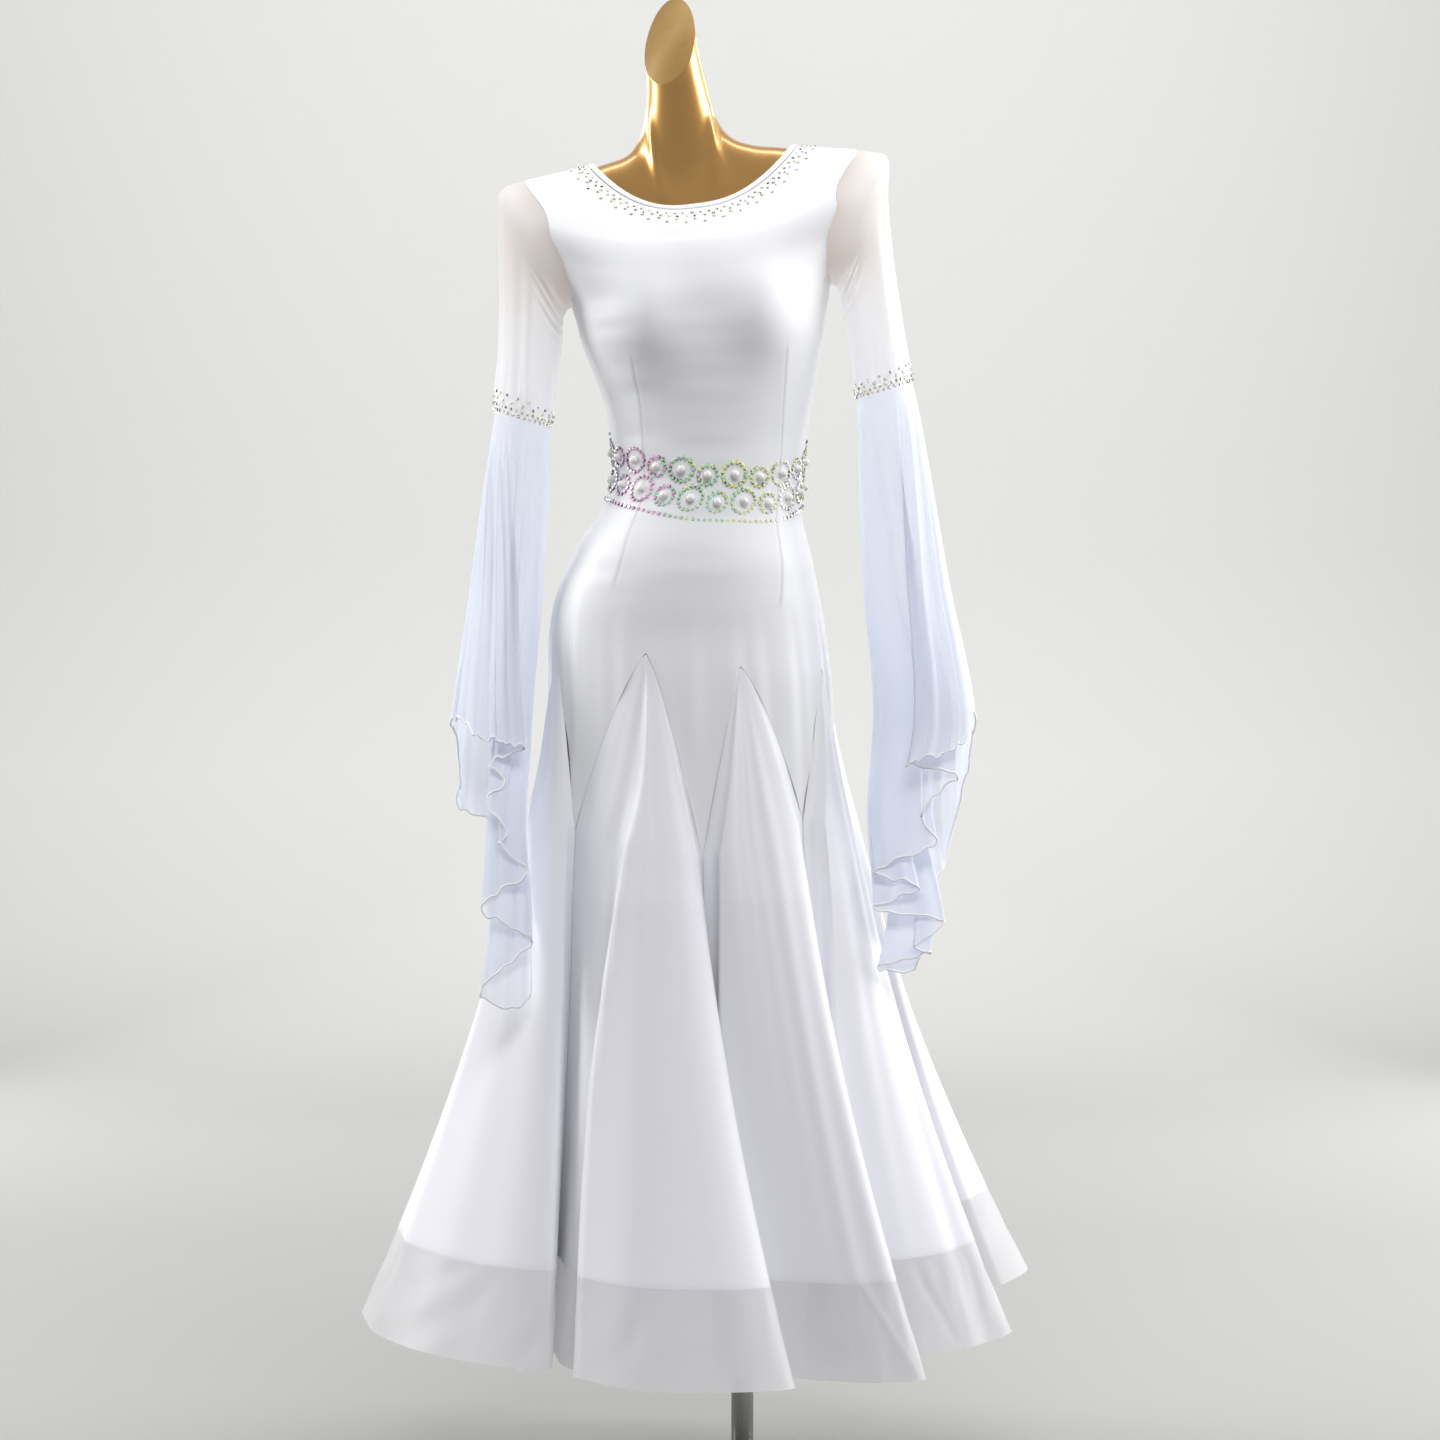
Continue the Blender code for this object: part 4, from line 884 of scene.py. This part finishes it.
# -------------------------------------------------------------------- stand
def form_mesh():
    """The smooth form, hips to neck, with its socket and its slanted cuts."""
    count = 176
    angles = np.arange(count) / count * 360
    levels = np.concatenate([np.linspace(FORM_BOTTOM, 1.32, 60, endpoint=False), np.linspace(1.32, 1.4365, 50)])
    rings = [skin(angles, z, FORM_CLEAR + 0.0095 * ridge(z, 1.392, 0.034)) for z in levels]
    first, foot = rings[0], rings[0].mean(0)
    for turn in range(1, 7):
        a = math.pi / 2 * turn / 6
        rings.insert(0, foot + (first - foot) * (0.86 + 0.14 * math.cos(a)) - (0, 0, FOOT_ROUND * math.sin(a)))
    low, radius, outer = FORM_BOTTOM - FOOT_ROUND, POLE_RADIUS + SOCKET_PLAY, rings[0]
    around = np.arctan2(outer[:, 1], outer[:, 0])
    mouth = np.stack([radius * np.cos(around), radius * np.sin(around), np.full(count, low)], -1)
    for t in (0.33, 0.66, 1.0):
        rings.insert(0, outer + (mouth - outer) * t)
    rings.insert(0, mouth + (0, 0, SOCKET_DEPTH))
    rings.insert(0, np.zeros((count, 3)) + (0, 0, low + SOCKET_DEPTH))
    neck = RINGS[-2:] + NECK_RINGS
    turned_by = (angles + 180) % 360 - 180
    for level in np.linspace(NECK_LOW, NECK_TOP, 84):
        climb = (level - NECK_LOW) / 0.090
        cords = sum(ridge(turned_by, side * (13 + 42 * climb), 8.0) for side in (-1, 1))
        cords = cords * smooth_step(level, 1.441, 1.456) * (1 - smooth_step(level, 1.495, 1.56))
        rings.append(skin(angles, level, (FORM_CLEAR - 0.0030 * cords)[:, None], neck))
    bm = lay_sheet(np.array(rings), (0.9, 1.0), closed=True, tip=True)
    bmesh.ops.holes_fill(bm, edges=[e for e in bm.edges if e.is_boundary], sides=0)
    bmesh.ops.recalc_face_normals(bm, faces=bm.faces)
    cuts = (
        ((-0.0835, 0, 1.620), (-0.408, -0.734, 0.543)),
        ((-0.2325, 0, 1.4052), (-0.862, 0, -0.506)),
        ((0.1310, 0, 1.4410), (0.945, 0, -0.327)),
    )
    for place, normal in cuts:
        reach = bm.verts[:] + bm.edges[:] + bm.faces[:]
        if place[2] < NECK_LOW + 0.1:  # an arm's cut leaves the rest alone
            near = {
                v for v in bm.verts
                if 1.28 < v.co.z < 1.56 and v.co.x * place[0] > 0 and abs(v.co.x - SKIRT_CENTRE) > 0.09
            }
            whole = (g for g in bm.edges[:] + bm.faces[:] if near.issuperset(g.verts))
            reach = [*near, *whole]
        cut = bmesh.ops.bisect_plane(
            bm, geom=reach, plane_co=place, plane_no=Vector(normal).normalized(), clear_outer=True
        )["geom_cut"]
        rim = [g for g in cut if isinstance(g, bmesh.types.BMEdge) and g.is_valid and g.is_boundary]
        for f in bmesh.ops.holes_fill(bm, edges=rim, sides=0)["faces"]:
            f.material_index = 1
            f.smooth = False
    bmesh.ops.recalc_face_normals(bm, faces=bm.faces)
    return bm


def turned(radius, low, high, bevel, segments):
    """A round bar or plate with softened rims."""
    bm = bmesh.new()
    bmesh.ops.create_cone(bm, cap_ends=True, segments=segments, radius1=radius, radius2=radius, depth=high - low)
    rim = [e for e in bm.edges if any(len(f.verts) > 4 for f in e.link_faces)]
    bmesh.ops.bevel(bm, geom=rim, offset=bevel, segments=3, affect="EDGES", profile=0.5, material=-1)
    bm.transform(Matrix.Translation((0, 0, (low + high) / 2)))
    return bm


# ---------------------------------------------------------------- materials
def new_material(name):
    """(material, its main shader)."""
    m = bpy.data.materials.new(name)
    m.use_nodes = True
    return m, m.node_tree.nodes["Principled BSDF"]


def fill(n, **values):
    """Sets a shader node's own values and its inputs, by name or as _0, _1; an output given as a value is linked."""
    for key, value in values.items():
        if hasattr(n, key):
            setattr(n, key, value)
            continue
        slot = n.inputs[int(key[1:]) if key[0] == "_" else key.replace("_", " ")]
        if isinstance(value, bpy.types.NodeSocket):
            n.id_data.links.new(value, slot)
        else:
            slot.default_value = value
    return n


def node(m, kind, **values):
    return fill(m.node_tree.nodes.new("ShaderNode" + kind), **values)


def spread(m, scale, detail):
    """The strength of soft noise over the object."""
    where = node(m, "TexCoord").outputs["Object"]
    return node(m, "TexNoise", Scale=scale, Detail=detail, Vector=where).outputs["Fac"]


def ramp(m, source, stops):
    """Colours along a source; the first two stops are its ends."""
    n = node(m, "ValToRGB", Fac=source)
    for k, (place, colour) in enumerate(stops):
        stop = n.color_ramp.elements[k] if k < 2 else n.color_ramp.elements.new(place)
        stop.position, stop.color = place, (*colour, 1)
    return n.outputs["Color"]


def cloth_finish(name, colour, rough, sheen, weave, bump, painted_seam_shade_strength=0.0, clear=0.0, glow=0.0, gloss=0.4):
    """Cloth with a weave in its own cut's metres, soft mottling, and painted shade darkening its seams and darts.
    clear is how much shows through and glow how much light passes."""
    m, shader = new_material(name)
    cut = node(m, "UVMap", uv_map="cut").outputs["UV"]
    stretch = node(m, "Mapping", Scale=(1.0, 0.45, 1.0), Vector=cut).outputs["Vector"]
    threads = node(m, "TexNoise", Scale=weave, Detail=2.0, Roughness=0.6, Vector=stretch).outputs["Fac"]
    # the second colour is a darker copy of the cloth's, which the seam attribute mixes in as painted shade
    mottled, painted_seam_shadow_colour = ((*(c * dim for c in colour), 1) for dim in (0.965, 0.55))
    tint = node(m, "Mix", data_type="RGBA", A=(*colour, 1), B=mottled, Factor=spread(m, 7.0, 3.0)).outputs["Result"]
    seam = node(m, "Attribute", attribute_name="seam").outputs["Fac"]
    dim = node(m, "Math", operation="MULTIPLY", _0=seam, _1=painted_seam_shade_strength).outputs[0]
    shade = node(m, "Mix", data_type="RGBA", A=tint, B=painted_seam_shadow_colour, Factor=dim).outputs["Result"]
    raised = node(m, "Bump", Strength=bump, Distance=0.0004, Height=threads).outputs["Normal"]
    fill(shader, Base_Color=shade, Normal=raised, Roughness=rough, Specular_IOR_Level=gloss)
    fill(shader, Sheen_Weight=sheen, Sheen_Roughness=0.4)
    result = shader.outputs["BSDF"]
    if glow:
        passed = node(m, "BsdfTranslucent", Color=shade).outputs[0]
        result = node(m, "MixShader", Fac=glow, _1=result, _2=passed).outputs[0]
    if clear:
        result = node(m, "MixShader", Fac=clear, _1=result, _2=node(m, "BsdfTransparent").outputs[0]).outputs[0]
    fill(m.node_tree.nodes["Material Output"], Surface=result)
    return m


def drifting_finish(name, scale, detail, low, high, **values):
    """A finish whose colour drifts softly between two tones."""
    m, shader = new_material(name)
    fill(shader, Base_Color=ramp(m, spread(m, scale, detail), ((0, low), (1, high))), **values)
    return m


def steel_finish():
    """Steel brushed round the pole."""
    m, shader = new_material("brushed_steel")
    squash = node(m, "Mapping", Scale=(1.0, 1.0, 0.02), Vector=node(m, "TexCoord").outputs["Object"])
    grain = node(m, "TexNoise", Scale=220.0, Detail=3.0, Vector=squash.outputs["Vector"])
    rough = node(m, "MapRange", To_Min=0.18, To_Max=0.34, Value=grain.outputs["Fac"])
    fill(shader, Roughness=rough.outputs["Result"], Base_Color=(0.36, 0.36, 0.345, 1), Metallic=1.0)
    return m


def stone_finish():
    """Coated crystal: each stone has its own tone, and each of its facets a painted glint: its colour is painted
    brighter or darker as sparkle and dark reflections.
    """
    m, shader = new_material("coated_crystal")
    tone = node(m, "Attribute", attribute_name="tone").outputs["Fac"]
    painted_glint = node(m, "Attribute", attribute_name="painted_glint").outputs["Fac"]
    colour = ramp(m, tone, (
        (0.0, (0.62, 0.74, 0.70)), (1.0, (0.96, 0.96, 0.99)), (0.20, (0.55, 0.38, 0.46)),
        (0.40, (0.95, 0.50, 0.84)), (0.60, (0.42, 0.86, 0.56)), (0.80, (0.95, 0.92, 0.32)),
    ))
    # facet brightness is painted into the colour, up past white: painted glints and dark painted reflections
    painted_glint_gain = node(m, "MapRange", To_Min=0.14, To_Max=1.5, Value=painted_glint).outputs["Result"]
    glint_painted_colour = node(m, "VectorMath", operation="SCALE", _0=colour, Scale=painted_glint_gain).outputs["Vector"]
    fill(shader, Base_Color=glint_painted_colour, Metallic=0.45, Roughness=0.18, Coat_Weight=1.0, Coat_Roughness=0.02)
    return m


# ------------------------------------------------------------------ dress up
jersey = cloth_finish("white_jersey", (0.865, 0.867, 0.89), 0.46, 0.25, 1500.0, 0.08, painted_seam_shade_strength=0.5, gloss=0.5)
skirt_jersey = cloth_finish("skirt_jersey", (0.855, 0.855, 0.905), 0.48, 0.30, 1500.0, 0.08, painted_seam_shade_strength=0.35)
sheer = cloth_finish("sheer_mesh", (0.975, 0.975, 0.99), 0.55, 0.5, 1800.0, 0.15, clear=0.08, glow=0.45)
chiffon = cloth_finish("chiffon", (0.915, 0.935, 1.0), 0.60, 0.4, 1600.0, 0.12, clear=0.06, glow=0.50)
rolled_hem = cloth_finish("rolled_hem", (0.90, 0.90, 0.94), 0.5, 0.3, 900.0, 0.2)
crinoline = cloth_finish(
    "crinoline", (0.90, 0.90, 0.92), 0.32, 0.2, 2400.0, 0.35, clear=0.09, glow=0.35, gloss=0.55
)
gold = drifting_finish(
    "gold_lacquer", 6.0, 2.0, (0.66, 0.345, 0.095), (0.76, 0.42, 0.125),
    Metallic=0.80, Roughness=0.30, Coat_Weight=1.0, Coat_Roughness=0.03,
)
cut_face = drifting_finish(
    "cut_face", 90.0, 4.0, (0.35, 0.205, 0.062), (0.40, 0.245, 0.080), Metallic=0.2, Roughness=0.5
)
steel, crystal = steel_finish(), stone_finish()
pearl = drifting_finish(
    "pearl", 60.0, 2.0, (0.83, 0.80, 0.76), (0.89, 0.88, 0.86), Roughness=0.22, Coat_Weight=0.8, Coat_Roughness=0.1,
    Subsurface_Weight=0.15, Subsurface_Radius=(0.002, 0.0016, 0.0012),
)

shown = {}


def show_cloth(name, points, size, finish, middle=SKIRT_MIDDLE, **more):
    """Shows rows of points as one cloth piece, its faces outward."""
    shown[name] = piece(face_out(lay_sheet(points, size, **more), middle), "fine_" + name, finish)
    return shown[name]


for name, front in (("front_panel", True), ("back_panel", False)):
    points, marks = drape_panel(front)
    wall(show_cloth(name, points, (0.50, 0.62), jersey, marks=marks), CLOTH_THICK)
for k in range(8):
    points, marks = drape_godet(k)
    wall(show_cloth(f"godet_{k + 1}", points, (0.34, 0.66), skirt_jersey, tip=True, marks=marks), CLOTH_THICK)
show_cloth("hem_band", drape_band(), (3.0, 0.095), crinoline, closed=True)

bm = lay_sheet(binding_points(), (0.62, 0.02), closed=True, rolled=True)
bmesh.ops.recalc_face_normals(bm, faces=bm.faces)
shown["neck_binding"] = piece(bm, "fine_neck_binding", jersey)

for name in ("right", "left"):
    points = sleeve_surface(name, 120, 72)
    show_cloth(f"{name}_sleeve", points, (0.28, 0.24), sheer, points.mean((0, 1))[:2], closed=True)
    points = flounce_surface(name, 400, 84)
    show_cloth(f"{name}_flounce", points, (1.0, 0.5), chiffon, points.mean((0, 1))[:2], closed=True)
    shown[f"{name}_flounce_hem"] = piece(tube(points[-1], HEM_CORD, 8), f"{name}_flounce_hem", rolled_hem)
    shown[f"{name}_sleeve_stones"] = piece(sleeve_stones(name), f"{name}_sleeve_stones", crystal, smooth=False)

shown["neck_stones"] = piece(neck_stones(), "neck_stones", crystal, smooth=False)
stones, pearls = belt()
shown["belt_stones"] = piece(stones, "belt_stones", crystal, smooth=False)
shown["belt_pearls"] = piece(pearls, "belt_pearls", pearl)
shown["dress_form"] = piece(form_mesh(), "fine_dress_form", gold, cut_face)
top = FORM_BOTTOM - FOOT_ROUND + SOCKET_DEPTH - SOCKET_PLAY
shown["pole"] = piece(turned(POLE_RADIUS, BASE_THICK + 0.0002, top, 0.0006, 64), "fine_pole", steel)
shown["base_plate"] = piece(turned(BASE_RADIUS, 0.0, BASE_THICK, 0.0018, 128), "fine_base_plate", steel)

for name, obj in shown.items():
    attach(obj, "root")
    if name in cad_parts:
        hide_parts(name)


# --------------------------------------------------------------------- stage
def stage_sweep():
    """A pale floor that curves up into a pale wall."""
    bm = bmesh.new()
    bmesh.ops.create_grid(bm, x_segments=2, y_segments=48, size=0.5)
    for v in bm.verts:
        t = v.co.y + 0.5
        bend = min(max((t - 0.4) / 0.3, 0), 1) * math.pi / 2
        y = -6 + min(t / 0.4, 1) * 8.6 + 1.0 * math.sin(bend)
        z = 1.0 * (1 - math.cos(bend)) + max(t - 0.7, 0) / 0.3 * 4.4
        v.co = (v.co.x * 16, y, z - 0.0002)
    return bm


# The sweep's paint is graded from dark at the front of the floor to pale up the wall: painted shade.
paint, shader = new_material("studio_paint_with_painted_shade")
parts = node(paint, "SeparateXYZ", _0=node(paint, "TexCoord").outputs["Object"])
reach = node(paint, "Math", operation="ADD", _0=parts.outputs["Y"], _1=parts.outputs["Z"]).outputs[0]
back = node(paint, "MapRange", From_Min=0.4, From_Max=5.2, Value=reach).outputs["Result"]
painted_shade_greys = (
    (0.0, 0.375), (1.0, 0.72), (0.20, 0.39), (0.40, 0.47), (0.47, 0.54), (0.54, 0.61), (0.62, 0.67), (0.74, 0.72)
)
tone = ramp(paint, back, [(place, (grey, grey, grey * 0.975)) for place, grey in painted_shade_greys])
fill(shader, Base_Color=tone, Roughness=0.9, Specular_IOR_Level=0.1)
floor = piece(stage_sweep(), "studio_floor", paint)


def lamp(name, place, aim, size, energy):
    """A soft rectangular lamp, aimed at a point."""
    data = bpy.data.lights.new(name, "AREA")
    data.shape, data.size, data.size_y = "RECTANGLE", size[0], size[1]
    data.energy = energy
    obj = place_object(name, data)
    obj.location = place
    obj.rotation_euler = (Vector(aim) - Vector(place)).to_track_quat("-Z", "Y").to_euler()
    return obj


lamp("right_bank", (2.55, 0.50, 1.95), (0.0, 0.0, 1.20), (1.6, 2.0), 70)
lamp("left_bank", (-2.78, 0.25, 1.90), (-0.1, 0.0, 1.10), (0.8, 2.2), 54)
front = lamp("high_front", (0.35, -1.5, 3.2), (-0.05, 0.0, 1.40), (1.8, 1.0), 50)
front.visible_glossy = False
lamp("wall_wash", (0.0, 0.9, 4.0), (0.0, 3.6, 1.6), (5.5, 1.2), 76)
lamp("back_right", (1.8, 2.2, 1.3), (0.1, 0.0, 1.0), (1.2, 2.0), 20)
lamp("back_left", (-1.9, 2.2, 1.3), (-0.2, 0.0, 1.0), (1.2, 2.0), 20)

world = bpy.data.worlds.new("studio")
bpy.context.scene.world = world
world.use_nodes = True
fill(world.node_tree.nodes["Background"], Color=(0.93, 0.94, 0.96, 1), Strength=0.30)

camera_data = bpy.data.cameras.new("camera")
camera_data.lens, camera_data.sensor_width = 90.9, 36.0
camera = place_object("camera", camera_data)
camera.location = (-0.025, -4.0, 1.21)
camera.rotation_euler = (math.radians(85.3), 0, 0)
bpy.context.scene.camera = camera
bpy.context.scene.view_settings.view_transform = "Standard"
